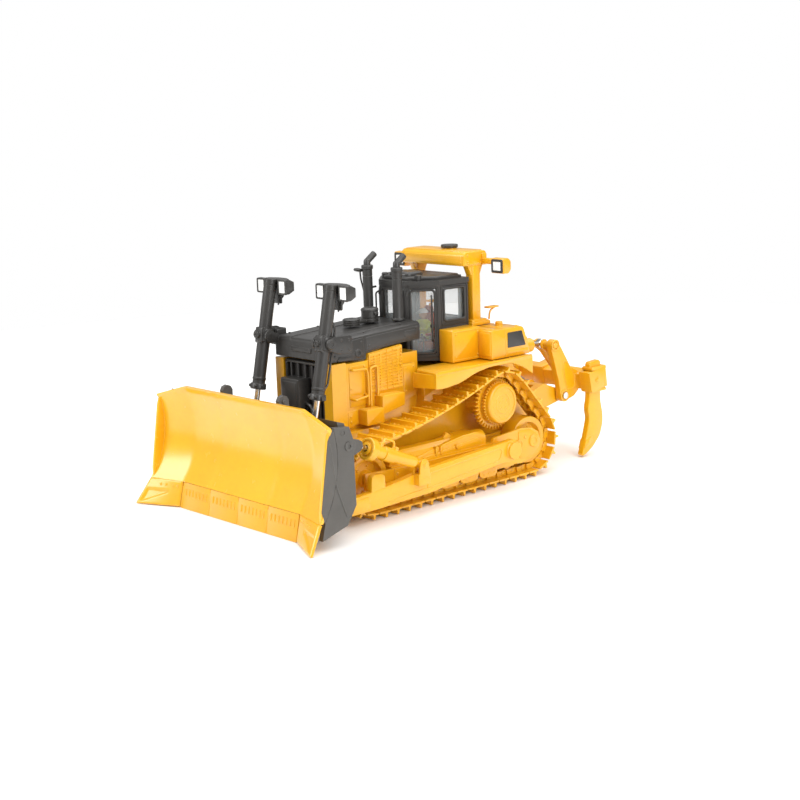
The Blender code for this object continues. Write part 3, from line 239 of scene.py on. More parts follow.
def moved(shape, offset):
    points, faces = shape
    return points + np.asarray(offset, float), faces


def mirrored(shape):
    """The shape on the other side of the machine, its faces turned over again."""
    points, faces = shape
    return points * (-1, 1, 1), [block[:, ::-1] for block in faces]


def on_side(shape, side):
    return shape if side > 0 else mirrored(shape)


def both(shapes):
    return [*shapes, *[mirrored(shape) for shape in shapes]]


def strewn(shape, origins, ahead, outward):
    """Copies of a shape of (x, along, out) points: origin + along ahead + out outward, all at once."""
    points, faces = shape
    spread = (
        origins[:, None]
        + points[None, :, 1:2] * ahead[:, None]
        + points[None, :, 2:3] * outward[:, None]
        + points[None, :, 0:1] * np.array([1.0, 0, 0])
    )
    step = np.arange(len(origins)) * len(points)
    faces = [(block[None] + step[:, None, None]).reshape(-1, block.shape[1]) for block in faces]
    spread = spread.reshape(-1, 3)
    return spread, facing_out(spread, faces)


def gasket(outline, width, low, high, plane="yz"):
    """A bar of rounded section carried round an outline: its outer side on the outline, its inner
    side drawn in by width."""
    outline = np.asarray(outline, float)
    lean = corner_lean(outline)
    crown = (high - low) * 0.35
    section = ((0, low), (0, high - crown), (0.25, high), (0.75, high), (1, high - crown), (1, low))
    rings = [np.column_stack([outline + lean * width * share, np.full(len(outline), rise)]) for share,
        rise in section]
    return carried(np.stack(rings, 1)[..., LAYOUT[plane]], joined=True)


def laid(shape, origin, along, up, out):
    """A shape of (a, b, height) points stood up: origin + a along + b up + height out."""
    points, faces = shape
    axes = np.array([along, up, out], float)
    placed = np.asarray(origin, float) + points @ axes
    return placed, facing_out(placed, faces)


def hex_bolt(origin, axis=(1, 0, 0), radius=0.55, height=0.35):
    """A six-sided head with a crowned top on a round washer."""
    washer = lathe([(radius * 1.25, -0.1), (radius * 1.25, 0.08), (radius * 1.05, 0.12)], origin, axis, 12)
    head = lathe([(radius, 0.0), (radius, height * 0.8), (radius * 0.75, height)], origin, axis, 6)
    return joined([washer, head])


def stud(origin, axis=(1, 0, 0), radius=0.5, height=0.3, sides=12):
    """A low dome whose radius falls as a quarter circle."""
    turn = np.radians(np.linspace(0, 78, 4))
    rows = np.column_stack([radius * np.cos(turn), height * np.sin(turn)])
    return lathe(np.vstack([[radius, -0.2], rows]), origin, axis, sides)


def relief(a, b, height, base, to_place):
    """A plate whose face follows height(a, b) over a grid; its rim drops to base and is closed.
    to_place turns (a, b, height) arrays into points."""
    grid_a, grid_b = np.meshgrid(a, b, indexing="ij")
    face = to_place(grid_a, grid_b, height(grid_a, grid_b)).reshape(-1, 3)
    rows, columns = len(a), len(b)
    index = np.arange(rows * columns).reshape(rows, columns)
    rim = np.concatenate([index[0, :], index[1:, -1], index[-1, -2::-1], index[-2:0:-1, 0]])
    flat = to_place(grid_a, grid_b, np.full_like(grid_a, base)).reshape(-1, 3)[rim]
    below = len(face) + np.arange(len(rim))
    walls = np.stack([rim, np.roll(rim, -1), np.roll(below, -1), below], -1)
    points = np.vstack([face, flat])
    faces = [quads(rows, columns)[:, ::-1], walls[:, ::-1], below[None, ::-1]]
    return points, facing_out(points, faces)


def smooth_step(value, low, high):
    share = np.clip((value - low) / (high - low), 0, 1)
    return share * share * (3 - 2 * share)


def piece(name, shapes, finish, body, replaces=(), sharp=32):
    """The named piece: its shapes in one mesh at the origin, riding on its body; ends stay flat."""
    points, faces = joined(shapes)
    points = (points - (0, CENTRE_STATION, 0)) * MM
    mesh = bpy.data.meshes.new(name)
    mesh.from_pydata(points, [], [face for block in faces for face in block.tolist()])
    mesh.validate()
    mesh.shade_smooth()
    corners = np.empty(len(mesh.polygons), int)
    mesh.polygons.foreach_get("loop_total", corners)
    mesh.polygons.foreach_set("use_smooth", corners < 5)
    mesh.set_sharp_from_angle(angle=math.radians(sharp))
    mesh.materials.append(finish)
    made = bpy.data.objects.new(name, mesh)
    bpy.context.scene.collection.objects.link(made)
    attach(made, body)
    if replaces:
        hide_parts(*replaces)
    return made


# ------------------------------------------------------------------ finishes
def linear(red, green, blue):
    """A screen colour, 0 to 255 a channel, as the light it stands for."""
    screen = np.array([red, green, blue]) / 255
    light = np.where(screen <= 0.04045, screen / 12.92, ((screen + 0.055) / 1.055) ** 2.4)
    return (*light, 1.0)


class Finish:
    """A node material put together step by step round one Principled shader."""

    def __init__(self, name, **sockets):
        self.material = bpy.data.materials.new(name)
        self.material.use_nodes = True
        self.nodes = self.material.node_tree.nodes
        self.links = self.material.node_tree.links
        self.shader = self.nodes["Principled BSDF"]
        for socket, value in sockets.items():
            self.shader.inputs[socket.replace("_", " ")].default_value = value
        self.place = self.nodes.new("ShaderNodeTexCoord").outputs["Object"]

    def add(self, kind, settings=None, **inputs):
        made = self.nodes.new(kind)
        for key, value in (settings or {}).items():
            setattr(made, key, value)
        for key, value in inputs.items():
            socket = made.inputs[key.replace("_", " ")]
            if isinstance(value, bpy.types.NodeSocket):
                self.links.new(value, socket)
            else:
                socket.default_value = value
        return made

    def noise(self, scale, detail=3.0, roughness=0.5, squeeze=None):
        place = self.place
        if squeeze:
            mapping = self.add("ShaderNodeMapping", Vector=place)
            mapping.inputs["Scale"].default_value = squeeze
            place = mapping.outputs["Vector"]
        made = self.add("ShaderNodeTexNoise", Vector=place, Scale=scale, Detail=detail)
        made.inputs["Roughness"].default_value = roughness
        return made.outputs["Fac"]

    def ramp(self, factor, *stops):
        """Colours along a factor: stops of (position, colour)."""
        made = self.add("ShaderNodeValToRGB", Fac=factor)
        ramp = made.color_ramp
        while len(ramp.elements) < len(stops):
            ramp.elements.new(0.5)
        for element, (position, colour) in zip(ramp.elements, stops):
            element.position = position
            element.color = colour if len(colour) == 4 else (*colour, 1.0)
        return made.outputs["Color"]

    def span(self, factor, low, high, start=0.0, end=1.0):
        """A factor between start and end turned into a value from low to high."""
        made = self.add("ShaderNodeMapRange", Value=factor)
        made.inputs["From Min"].default_value = start
        made.inputs["From Max"].default_value = end
        made.inputs["To Min"].default_value = low
        made.inputs["To Max"].default_value = high
        return made.outputs["Result"]

    def blend(self, factor, first, second, kind="MIX"):
        made = self.add("ShaderNodeMix", {"data_type": "RGBA", "blend_type": kind})
        for number, value in ((0, factor), (6, first), (7, second)):
            if isinstance(value, bpy.types.NodeSocket):
                self.links.new(value, made.inputs[number])
            else:
                made.inputs[number].default_value = value
        return made.outputs[2]

    def edges(self, radius):
        """The rounded normal, and a factor that is strong where the surface turns an edge."""
        soft = self.add("ShaderNodeBevel", {"samples": 4}, Radius=radius * MM).outputs["Normal"]
        true = self.add("ShaderNodeNewGeometry").outputs["Normal"]
        made = self.add("ShaderNodeVectorMath", {"operation": "DOT_PRODUCT"})
        self.links.new(soft, made.inputs[0])
        self.links.new(true, made.inputs[1])
        return soft, self.span(made.outputs["Value"], 0.0, 1.0, 1.0, 0.8)

    def bump(self, height, distance, strength=1.0, normal=None):
        made = self.add("ShaderNodeBump", Height=height, Distance=distance * MM, Strength=strength)
        if normal is not None:
            self.links.new(normal, made.inputs["Normal"])
        return made.outputs["Normal"]

    def wear(self, colour=None, roughness=None, normal=None):
        """Links what has been worked out to the shader and gives back the material."""
        for socket, value in (("Base Color", colour), ("Roughness", roughness), ("Normal", normal)):
            if value is not None:
                self.links.new(value, self.shader.inputs[socket])
        return self.material


def paint(name, deep, light, edge, rough, coat, grain=0.012, radius=0.16):
    """Sprayed paint: a slow drift between two tones, a painted highlight that lightens the edges, fine orange
    peel.
    """
    made = Finish(name, Coat_Weight=coat, Coat_Roughness=0.2, Specular_IOR_Level=0.5)
    soft, turned = made.edges(radius)
    drift = made.ramp(made.noise(55, 4, 0.6), (0.3, deep), (0.7, light))
    speck = made.ramp(made.noise(900, 2), (0.25, (0.9, 0.9, 0.9)), (0.6, (1, 1, 1)))
    tone = made.blend(0.5, drift, speck, "MULTIPLY")
    # painted highlight: the edge colour is blended in where the surface turns an edge, standing in for light
    # caught on the rims
    tone = made.blend(made.span(turned, 0, 0.55), tone, edge)
    roughness = made.span(made.noise(240, 4, 0.65), rough * 0.75, rough * 1.35)
    return made.wear(tone, roughness, made.bump(made.noise(1500, 2), grain, 0.6, soft))


def plated(name):
    """Bright plated rod: faint drawn lines along and round it."""
    made = Finish(name, Metallic=1.0)
    lines = made.noise(700, 2, 0.5, squeeze=(1.0, 0.15, 0.15))
    tone = made.ramp(made.noise(160), (0.3, linear(196, 192, 186)), (0.7, linear(236, 234, 230)))
    return made.wear(tone, made.span(lines, 0.08, 0.24), made.bump(lines, 0.004, 0.5))


def clear_plastic(name):
    """Thin clear pane: nearly open, with faint smears in its gloss."""
    made = Finish(name, Base_Color=(0.75, 0.8, 0.8, 1), Alpha=0.16, IOR=1.45)
    smear = made.noise(140, 3, 0.6, squeeze=(1, 1, 0.3))
    return made.wear(None, made.span(smear, 0.02, 0.12), made.bump(smear, 0.01, 0.2))


def lens(name):
    """Pressed lamp glass: upright flutes over a pale reflector, with a faint painted glow though no light is
    inside.
    """
    made = Finish(name, Coat_Weight=1.0, Coat_Roughness=0.03, Emission_Color=(1, 1, 1, 1))
    # painted glow: the lens gives off faint white light though the lamp is unlit
    made.shader.inputs["Emission Strength"].default_value = 0.25
    flutes = made.add("ShaderNodeTexWave", {"bands_direction": "X"}, Vector=made.place, Scale=420.0)
    tone = made.ramp(flutes.outputs["Fac"], (0.0, linear(214, 214, 210)), (1.0, linear(250, 250, 247)))
    return made.wear(tone, made.span(made.noise(300), 0.08, 0.2), made.bump(flutes.outputs["Fac"], 0.05, 0.5))


def matt(name, deep, light, rough, scale, depth, sheen=0.0):
    """Soft or moulded stuff: two tones over a fine grain that also lifts the surface."""
    made = Finish(name, Sheen_Weight=sheen)
    grain = made.noise(scale, 5, 0.7)
    tone = made.ramp(made.noise(scale * 0.3, 3), (0.3, deep), (0.7, light))
    return made.wear(tone, made.span(grain, rough * 0.85, rough * 1.1), made.bump(grain, depth, 0.7))


# the third colour of each paint is its painted edge highlight
YELLOW = paint(
    "yellow_paint", linear(226, 162, 10), linear(236, 173, 17), linear(255, 208, 84), 0.30, 0.5
)
BLADE_YELLOW = paint(
    "blade_paint", linear(236, 172, 18), linear(244, 183, 26), linear(255, 212, 90), 0.24, 0.6, 0.006
)
BLACK = paint(
    "black_paint", linear(44, 42, 40), linear(54, 52, 49), linear(96, 93, 88), 0.42, 0.25, 0.02
)
BLADE_GREY = paint(
    "blade_back_paint", linear(74, 71, 67), linear(86, 83, 78), linear(128, 124, 118), 0.5, 0.15, 0.02
)
PLATED = plated("plated_steel")
CLEAR = clear_plastic("window_plastic")
LENS = lens("lamp_lens")
SEAT = matt("seat_vinyl", linear(160, 50, 18), linear(196, 74, 28), 0.6, 900, 0.05)
VEST = matt("safety_vest", linear(172, 182, 20), linear(204, 210, 44), 0.8, 1300, 0.04, 0.4)
TROUSERS = matt("work_trousers", linear(40, 48, 66), linear(56, 64, 84), 0.85, 1300, 0.04, 0.3)
SKIN = matt("painted_skin", linear(196, 142, 108), linear(210, 158, 122), 0.55, 700, 0.01)
HELMET = matt("helmet_shell", linear(232, 232, 226), linear(246, 246, 242), 0.3, 500, 0.01)
RUBBER = matt("hose_rubber", linear(26, 25, 24), linear(38, 37, 35), 0.6, 1000, 0.03)

FINISHES = {
    "paint_yellow": YELLOW,
    "paint_black": BLACK,
    "bright_steel": PLATED,
    "window_glass": CLEAR,
    "seat_red": SEAT,
    "work_clothes": VEST,
}
SLOT_OF = {entry["node"]: entry["material_slot"] for entry in frame["record"]["subparts"]}
for node_name, node_object in frame["nodes"].items():
    for material_slot in node_object.material_slots:
        material_slot.material = FINISHES[SLOT_OF[node_name]]
for node_name in ("blade_back",):
    for material_slot in frame["nodes"][node_name].material_slots:
        material_slot.material = BLADE_GREY


# ------------------------------------------------------------------ blade
def moldboard_face(x, share):
    """Face of the blade: y = foot + share (lip - foot) + bow 4 share (1 - share), z rising
    evenly from the edge to the top, all leaning forward on the wings beyond the crease."""
    wing = np.maximum(0, (np.abs(x) - BLADE_CREASE) / (BLADE_HALF - BLADE_CREASE))
    lip = -34.1 - wing * 1.6
    foot = -36.6 - wing * 3.8
    top = 41.8 - wing * 4.0
    bow = 5.0 * (1 - 0.35 * wing) * 4 * share * (1 - share)
    return foot + share * (lip - foot) + bow, 8.8 + share * (top - 8.8)


def wing_plate(behind):
    """Outline of an end plate's front: the blade's curve, set back, closed by its straight chord."""
    curve = np.column_stack(moldboard_face(np.full(21, BLADE_HALF), np.linspace(0, 1, 21)))
    chord = np.linspace(curve[-1], curve[0], 9)[1:-1]
    return np.vstack([curve + (behind, 0), chord])


def make_moldboard():
    """The face profile is closed by a copy 1.2 mm behind it and carried from side to side."""
    x = np.concatenate([
        np.linspace(-BLADE_HALF, -BLADE_CREASE, 13)[:-1],
        np.linspace(-BLADE_CREASE, BLADE_CREASE, 49),
        np.linspace(BLADE_CREASE, BLADE_HALF, 13)[1:],
    ])
    share = np.linspace(0, 1, 41)
    grid_x, grid_share = np.meshgrid(x, share, indexing="ij")
    y, z = moldboard_face(grid_x, grid_share)
    face = np.stack([grid_x, y, z], -1)
    lip = 0.35 * smooth_step(grid_share, 0.955, 0.975)
    groove = 0.16 * np.exp(-(((np.abs(grid_x) - 16.0) / 0.5) ** 2))
    front = face + np.stack([0 * y, groove - lip, 0 * y], -1)
    back = face + np.array([0, 1.2, 0])
    skin = carried(np.concatenate([front, back[:, ::-1]], 1))
    shapes = [skin, *both([slab(wing_plate(0.6), BLADE_HALF - 1.1, BLADE_HALF - 0.2, 0.12)])]
    piece("moldboard", shapes, BLADE_YELLOW, "blade", ["blade_moldboard"])


def make_cutting_edge():
    """Four bolted segments: a wedge profile carried across, with a row of long bolt heads."""
    shapes = []
    profile = [(-38.5, 0.0), (-38.0, 0.0), (-35.5, 8.7), (-36.75, 8.7)]
    lean = np.array([0, -36.9 + 38.5, 7.9])
    lean /= np.linalg.norm(lean)
    ahead = np.array([0, -lean[2], lean[1]])
    for number in range(4):
        low = -31.75 + number * 15.9
        shapes.append(slab(profile, low, low + 15.75, 0.14))
        outline = rounded((-0.36, 0.36), (-1.25, 1.25), 0.34, 3)
        lozenge = slab(outline, -0.3, 0.28, 0.2, "xy")
        for bolt in range(7):
            origin = np.array([low + 1.9 + bolt * 2.0, -37.35, 5.6])
            points, faces = lozenge
            across = np.array([1.0, 0, 0])
            placed = origin + points[:, :1] * across + points[:, 1:2] * lean + points[:, 2:] * ahead
            shapes.append((placed, facing_out(placed, faces)))
        shapes.append(slab([(-38.62, 0.3), (-38.2, 0.3), (-36.6, 7.4), (-37.02, 7.4)], low - 0.25,
            low + 0.2, 0.1))
    piece("edge_segments", shapes, YELLOW, "blade", ["cutting_edge"])


def make_end_bit(side, word):
    """A flared plate: four corners blended evenly, with a raised rim round a sunken panel."""
    corners = np.array([[32.2, -36.9, 8.95], [46.4, -40.75, 8.95], [48.2, -46.4, 0.5], [32.2, -38.9, 0.5]])

    def to_place(a, b, height):
        top = corners[0] + a[..., None] * (corners[1] - corners[0])
        bottom = corners[3] + a[..., None] * (corners[2] - corners[3])
        middle = top + b[..., None] * (bottom - top)
        return middle + height[..., None] * np.array([-0.25, -0.87, 0.42])

    def height(a, b):
        inside = np.minimum(np.minimum(a - 0.34, 0.95 - a) * 14, np.minimum(b - 0.36, 0.95 - b) * 9)
        inside = np.minimum(inside, (a * 0.75 + 0.28 - b) * 8)
        bevel = 0.35 * (1 - smooth_step(np.minimum(np.minimum(a, 1 - a), np.minimum(b, 1 - b)), 0, 0.035))
        return 0.02 - 0.5 * smooth_step(inside, 0, 1) - bevel

    even = np.linspace(0, 1, 41)
    plate = relief(even, even, height, -1.1, to_place)
    bolts = []
    for share in (0.12, 0.24, 0.45, 0.6):
        spot = to_place(np.array(share), np.array(0.2), np.array(0.0))
        bolts.append(stud(spot, (-0.25, -0.87, 0.42), 0.55, 0.3))
    shapes = [on_side(shape, side) for shape in (plate, *bolts)]
    piece(f"end_bit_{word}_plate", shapes, YELLOW, "blade", [f"end_bit_{word}"])


def make_blade_trim():
    """On the grey back: slanted ridges, bosses and studs on the side plates, ribs across."""
    shapes = []
    face = BLADE_HALF - 0.02
    ridge = np.array([[face, -35.2, 33.2], [face, -33.6, 20.0], [face, -29.6, 9.4]])
    shapes.append(tube(bent(ridge, 4.0), 0.28, 8))
    shapes.append(lathe([(1.5, -0.6), (1.5, 0.25), (1.2, 0.4), (0.7, 0.4), (0.62, 0.1)],
        (face, -27.9, 31.2), (1, 0, 0), 20))
    shapes.append(lathe([(0.9, -0.6), (0.9, 0.1), (0.72, 0.16), (0.66, -0.2)], (face, -29.9, 35.6),
        (1, 0, 0), 16))
    for z in (30.0, 22.5, 15.0):
        shapes.append(brick((-30.0, -18.0), (-25.9, -24.9), (z - 0.6, z + 0.6), 0.2, 0.3, "xz"))
        shapes.append(brick((19.5, 33.0), (-25.9, -24.9), (z - 0.6, z + 0.6), 0.2, 0.3, "xz"))
    rib = slab([(-28.0, 37.6), (-25.2, 31.0), (-25.2, 14.0), (-30.0, 11.5), (-30.0, 36.0)], 10.2, 11.4, 0.2)
    shapes += [rib, moved(rib, (-21.6, 0, 0)), moved(rib, (18.5, 0, 0)), moved(rib, (-40.1, 0, 0))]
    for x in (-7.5, -2.5, 2.5, 7.5):
        shapes.append(hex_bolt((x, -25.6, 27.0), (0, 1, 0), 0.6))
        shapes.append(hex_bolt((x, -25.6, 18.0), (0, 1, 0), 0.6))
    plate = wing_plate(1.6)
    plate[:, 0] += 0.3
    shapes += both([slab(plate, BLADE_HALF - 0.25, BLADE_HALF + 0.06, 0.08)])
    for side in (1, -1):
        shapes.append(on_side(lathe([(0.7, -0.5), (0.7, 0.35), (0.5, 0.5)], (16.0, -28.6, 41.4), (1, 0, 0),
            14), side))
        shapes.append(on_side(lathe([(1.2, -2.3), (1.2, 2.3)], (LIFT_X, -27.2, 20.0), (1, 0, 0), 16), side))
    extra = [mirrored(shapes[0]), mirrored(shapes[1]), mirrored(shapes[2])]
    piece("blade_back_ribs", shapes + extra, BLADE_GREY, "blade")


# ------------------------------------------------------------------ tracks
def touching_angle(first, first_radius, second, second_radius):
    """Angle of the outward normal of the line that touches both circles on their right."""
    run = np.subtract(second, first)
    return math.atan2(run[1], run[0]) - math.acos((first_radius - second_radius) / np.linalg.norm(run))


def link_pins():
    """Pins at an equal pitch round two idlers, the sprocket and the sagging upper run."""
    wheels = [(FRONT_IDLER, 10.1), (REAR_IDLER, 10.1), (SPROCKET, 10.3)]
    normals = [touching_angle(*wheels[i], *wheels[(i + 1) % 3]) for i in range(3)]
    line = []
    for i, (centre, radius) in enumerate(wheels):
        end = normals[i] + (2 * math.pi if normals[i] < normals[i - 1] else 0)
        turn = np.linspace(normals[i - 1], end, 60)
        line.append(np.column_stack([np.cos(turn), np.sin(turn)]) * radius + centre)
    share = np.linspace(0, 1, 62)[1:-1, None]
    upper = line[2][-1] + share * (line[0][0] - line[2][-1])
    upper[:, 1] -= (4 * 2.4 * share * (1 - share))[:, 0]
    line = np.vstack([*line, upper, line[0][:1]])
    length = np.concatenate([[0], np.cumsum(np.linalg.norm(np.diff(line, axis=0), axis=1))])
    count = round(length[-1] / SHOE_PITCH)
    marks = np.arange(count) * length[-1] / count
    return np.column_stack([np.interp(marks, length, line[:, i]) for i in range(2)])


def make_track(side, word):
    """One shoe, its two links, pin and bolts, strewn along the pins of the whole loop."""
    pins = link_pins()
    after = np.roll(pins, -1, 0)
    run = after - pins
    pitch = np.linalg.norm(run, axis=1).mean()
    ahead = np.column_stack([np.zeros(len(run)), run / np.linalg.norm(run, axis=1, keepdims=True)])
    outward = np.column_stack([ahead[:, 0], ahead[:, 2], -ahead[:, 1]])
    origins = np.column_stack([np.full(len(pins), TRACK_CENTRE), pins])
    foot = 0.55 * pitch
    heel = 0.72 * pitch
    shoe = [
        (0.25, 0.95),
        (pitch - 0.25, 0.95),
        (pitch - 0.05, 1.2),
        (pitch - 0.15, 1.6),
        (heel + 0.35, 1.6),
        (heel + 0.08, 1.95),
        (heel - 0.06, 3.12),
        (foot + 0.1, 3.12),
        (foot - 0.06, 1.95),
        (foot - 0.3, 1.6),
        (0.45, 1.6),
        (0.1, 1.35),
    ]
    shapes = [slab(shoe, -6.1, 6.1, 0.12, steps=1)]
    for sign in (1, -1):
        near = sorted((sign * 1.32, sign * 1.98))
        far = sorted((sign * 2.02, sign * 2.68))
        start = [*ring_of((0, 0), 0.98, 100, 260, 5), (2.7, -0.92), (3.0, 0.96)]
        finish = [*ring_of((pitch, 0), 0.98, -80, 80, 5), (2.5, 0.96), (2.2, -0.92)]
        shapes.append(slab(start, *near, 0.1, steps=1))
        shapes.append(slab(finish, *far, 0.1, steps=1))
        end = lathe([(0.62, 0), (0.62, 0.2), (0.45, 0.3)], (sign * 2.66, pitch, 0), (sign, 0, 0), 10)
        shapes.append(end)
        for along in (1.35, pitch - 0.95):
            shapes.append(lathe([(0.42, -0.1), (0.42, 0.16), (0.3, 0.24)], (sign * 4.1, along, 1.58),
                (0, 0, 1), 6))
            shapes.append(lathe([(0.42, -0.1), (0.42, 0.16), (0.3, 0.24)], (sign * 1.9, along, 1.58),
                (0, 0, 1), 6))
    shapes.append(lathe([(0.72, -1.3), (0.72, 1.3)], (0, 0, 0), (1, 0, 0), 10))
    loop = strewn(joined(shapes), origins, ahead, outward)
    piece(f"track_{word}_shoes", [on_side(loop, side)], YELLOW, "chassis", [f"track_{word}"])


def make_idler(end, place, side, word):
    """A wheel: rim with a middle flange, a dished web and a capped hub."""
    half = [
        (1.75, 2.9), (2.6, 2.9), (2.9, 2.5), (3.1, 1.4), (5.6, 1.0), (6.1, 1.5), (6.4, 2.7), (6.8, 2.9),
        (8.3, 2.9), (8.5, 2.7), (8.5, 1.35), (8.52, 1.2),
    ]
    profile = half + [(radius, -x) for radius, x in reversed(half)]
    wheel = lathe_ring(profile, (TRACK_CENTRE, *place), sides=48)
    shapes = [wheel]
    for number in range(6):
        angle = math.radians(60 * number + 15)
        spot = (TRACK_CENTRE + 1.1, place[0] + 4.4 * math.cos(angle), place[1] + 4.4 * math.sin(angle))
        shapes.append(stud(spot, (1, 0, 0), 0.5, 0.5))
        shapes.append(stud((TRACK_CENTRE - 1.1, *spot[1:]), (-1, 0, 0), 0.5, 0.5))
    name = f"{end}_idler_{word}"
    piece(f"{name}_wheel", [on_side(s, side) for s in shapes], YELLOW, name, [name])


def make_sprocket(side, word):
    """Toothed ring whose radius rises and falls 40 times a turn, a drum, and a worked hub cover."""
    turn = np.arange(320) * 2 * math.pi / 320
    wave = 0.5 + 0.5 * np.cos(turn * 40)
    radius = 8.6 + 1.3 * smooth_step(wave, 0.35, 0.9)
    rim = np.column_stack([np.cos(turn), np.sin(turn)]) * radius[:, None] + SPROCKET
    shapes = [slab(rim, TRACK_CENTRE - 0.9, TRACK_CENTRE + 0.9, 0.2)]
    face = TRACK_CENTRE + 4.9
    cover = [
        (2.15, TRACK_CENTRE - 2.9), (5.2, TRACK_CENTRE - 2.9), (5.2, TRACK_CENTRE - 0.5), (7.3,
            TRACK_CENTRE - 0.5),
        (7.3, face - 1.1), (7.12, face - 0.5), (6.7, face - 0.12), (6.2, face), (5.75, face), (5.6,
            face - 0.28),
        (0.4, face - 0.3), (0.4, face - 1.6), (2.15, face - 1.8),
    ]
    shapes.append(lathe_ring([(r, x) for r, x in cover], (0, *SPROCKET), sides=64))
    shapes.append(lathe([(0.6, -1.2), (0.6, 0.0), (0.45, 0.08)], (face - 0.4, *SPROCKET), (1, 0, 0), 16))
    cog = 44
    turn = np.arange(cog * 6) * 2 * math.pi / (cog * 6)
    radius = 7.35 + 0.6 * (np.cos(turn * cog) > -0.1)
    fine = np.column_stack([np.cos(turn), np.sin(turn)]) * radius[:, None] + SPROCKET
    shapes.append(slab(fine, TRACK_CENTRE + 1.6, TRACK_CENTRE + 3.0, 0.1, steps=1))
    ring = [(3.0, -0.4), (3.0, 0.02), (3.12, 0.14), (3.55, 0.14), (3.67, 0.02), (3.67, -0.4)]
    shapes.append(lathe_ring(ring, (face - 0.28, *SPROCKET), sides=40))
    for number in range(5):
        angle = math.radians(72 * number + 18)
        spot = (face - 0.35, SPROCKET[0] + 1.9 * math.cos(angle), SPROCKET[1] + 1.9 * math.sin(angle))
        shapes.append(stud(spot, (1, 0, 0), 0.55, 0.28, 16))
    for number in range(12):
        angle = math.radians(30 * number + 8)
        spot = (face - 0.32, SPROCKET[0] + 4.7 * math.cos(angle), SPROCKET[1] + 4.7 * math.sin(angle))
        shapes.append(stud(spot, (1, 0, 0), 0.28, 0.2, 8))
    name = f"sprocket_{word}"
    piece(f"{name}_hub", [on_side(s, side) for s in shapes], YELLOW, name, [name])


# ------------------------------------------------------------------ cylinders and lamps
def soft(outline, radius, steps=3):
    """A closed outline whose corners are rounded by the curve (1-t)^2 a + 2t(1-t) c + t^2 b."""
    corner = np.asarray(outline, float)
    before = np.roll(corner, 1, 0) - corner
    after = np.roll(corner, -1, 0) - corner
    reach_b = np.linalg.norm(before, axis=1, keepdims=True)
    reach_a = np.linalg.norm(after, axis=1, keepdims=True)
    start = (corner + before * np.minimum(radius / reach_b, 0.45))[:, None]
    end = (corner + after * np.minimum(radius / reach_a, 0.45))[:, None]
    t = np.linspace(0, 1, steps + 1)[None, :, None]
    return (start * (1 - t) ** 2 + corner[:, None] * 2 * t * (1 - t) + end * t**2).reshape(-1, 2)


def on_line(start, end, distance):
    """The (y, z) point at a distance from start on the way to end."""
    run = np.subtract(end, start)
    return np.add(start, run / np.linalg.norm(run) * distance)


def line_frame(x, start, end):
    """Origin and direction of an axis in the plane at x."""
    run = np.subtract(end, start)
    run = run / np.linalg.norm(run)
    return np.array([x, *start]), np.array([0.0, *run])


def eye(x, place, radius, half):
    """A round knuckle across the machine with a small crown on its rims."""
    rim = [(radius - 0.2, -half), (radius, 0.15 - half), (radius, half - 0.15), (radius - 0.2, half)]
    return lathe(rim, (x, *place), (1, 0, 0), 28)


def make_lift(side, word):
    """Barrel turned about the line from pivot to eye, with collar, gland, pipe and pin heads."""
    origin, axis = line_frame(LIFT_X, LIFT_PIVOT, LIFT_EYE)
    profile = [
        (1.5, -19.4), (2.0, -19.3), (2.2, -19.0), (2.2, -17.4), (2.08, -17.3), (2.08, -17.0), (2.2, -16.9),
        (2.2, -2.3), (2.55, -2.1), (2.6, -1.9), (2.6, 1.9), (2.55, 2.1), (2.2, 2.3), (2.2, 14.4), (2.35,
            14.6),
        (2.35, 15.2), (2.2, 15.4), (2.2, 16.4), (2.6, 16.6), (2.7, 16.8), (2.7, 18.4), (2.5, 18.6), (1.25,
            18.6),
        (1.2, -5.0),
    ]
    shapes = [lathe(profile, origin, axis, 32)]
    shapes.append(slab(soft([(-13.9, 55.6), (-8.4, 54.9), (-8.0, 60.4), (-13.2, 61.0)], 0.6), 14.2, 17.8,
        0.3))
    shapes.append(lathe([(1.1, -0.5), (1.1, 0.5), (0.85, 0.7), (0.4, 0.7), (0.3, 0.5)],
        (LIFT_X, -13.8, 58.4), (0, -1, 0.1), 16))
    for half in (-1, 1):
        inner = LIFT_X + half * 1.5
        shapes.append(lathe([(0.9, 0), (0.9, 2.25)], (inner, *LIFT_PIVOT), (half, 0, 0), 16))
        spot = on_line(LIFT_PIVOT, LIFT_EYE, 17.6)
        shapes.append(slab(soft([spot + p for p in ((-0.9, -0.9), (0.9, -0.9), (0.9, 0.9), (-0.9, 0.9))],
            0.3),
                           *sorted((LIFT_X + half * 2.3, LIFT_X + half * 3.3)), 0.15))
        shapes.append(hex_bolt((LIFT_X + half * 1.5, *(on_line(LIFT_PIVOT, LIFT_EYE, 17.4) + (-2.3, 0.4))),
            (0, -1, 0), 0.5, 0.4))
    back = [on_line(LIFT_PIVOT, LIFT_EYE, d) + (r, 0.2 * r) for d,
        r in ((15.8, 1.6), (14.6, 3.0), (4.0, 3.3), (-4.0, 3.3), (-6.5, 1.8))]
    shapes.append(tube(bent([(LIFT_X + 0.9, *p) for p in back], 1.0), 0.36, 8))
    piece(f"lift_cylinder_{word}_barrel", [on_side(s, side) for s in shapes], BLACK,
          f"lift_cylinder_{word}", [f"lift_cylinder_{word}"])
    bar = [lathe([(0.95, 10.9), (0.95, 38.0)], origin, axis, 20), eye(LIFT_X, LIFT_EYE, 1.7, 1.1)]
    piece(f"lift_rod_{word}_bar", [on_side(s, side) for s in bar], PLATED,
          f"lift_rod_{word}", [f"lift_rod_{word}"])


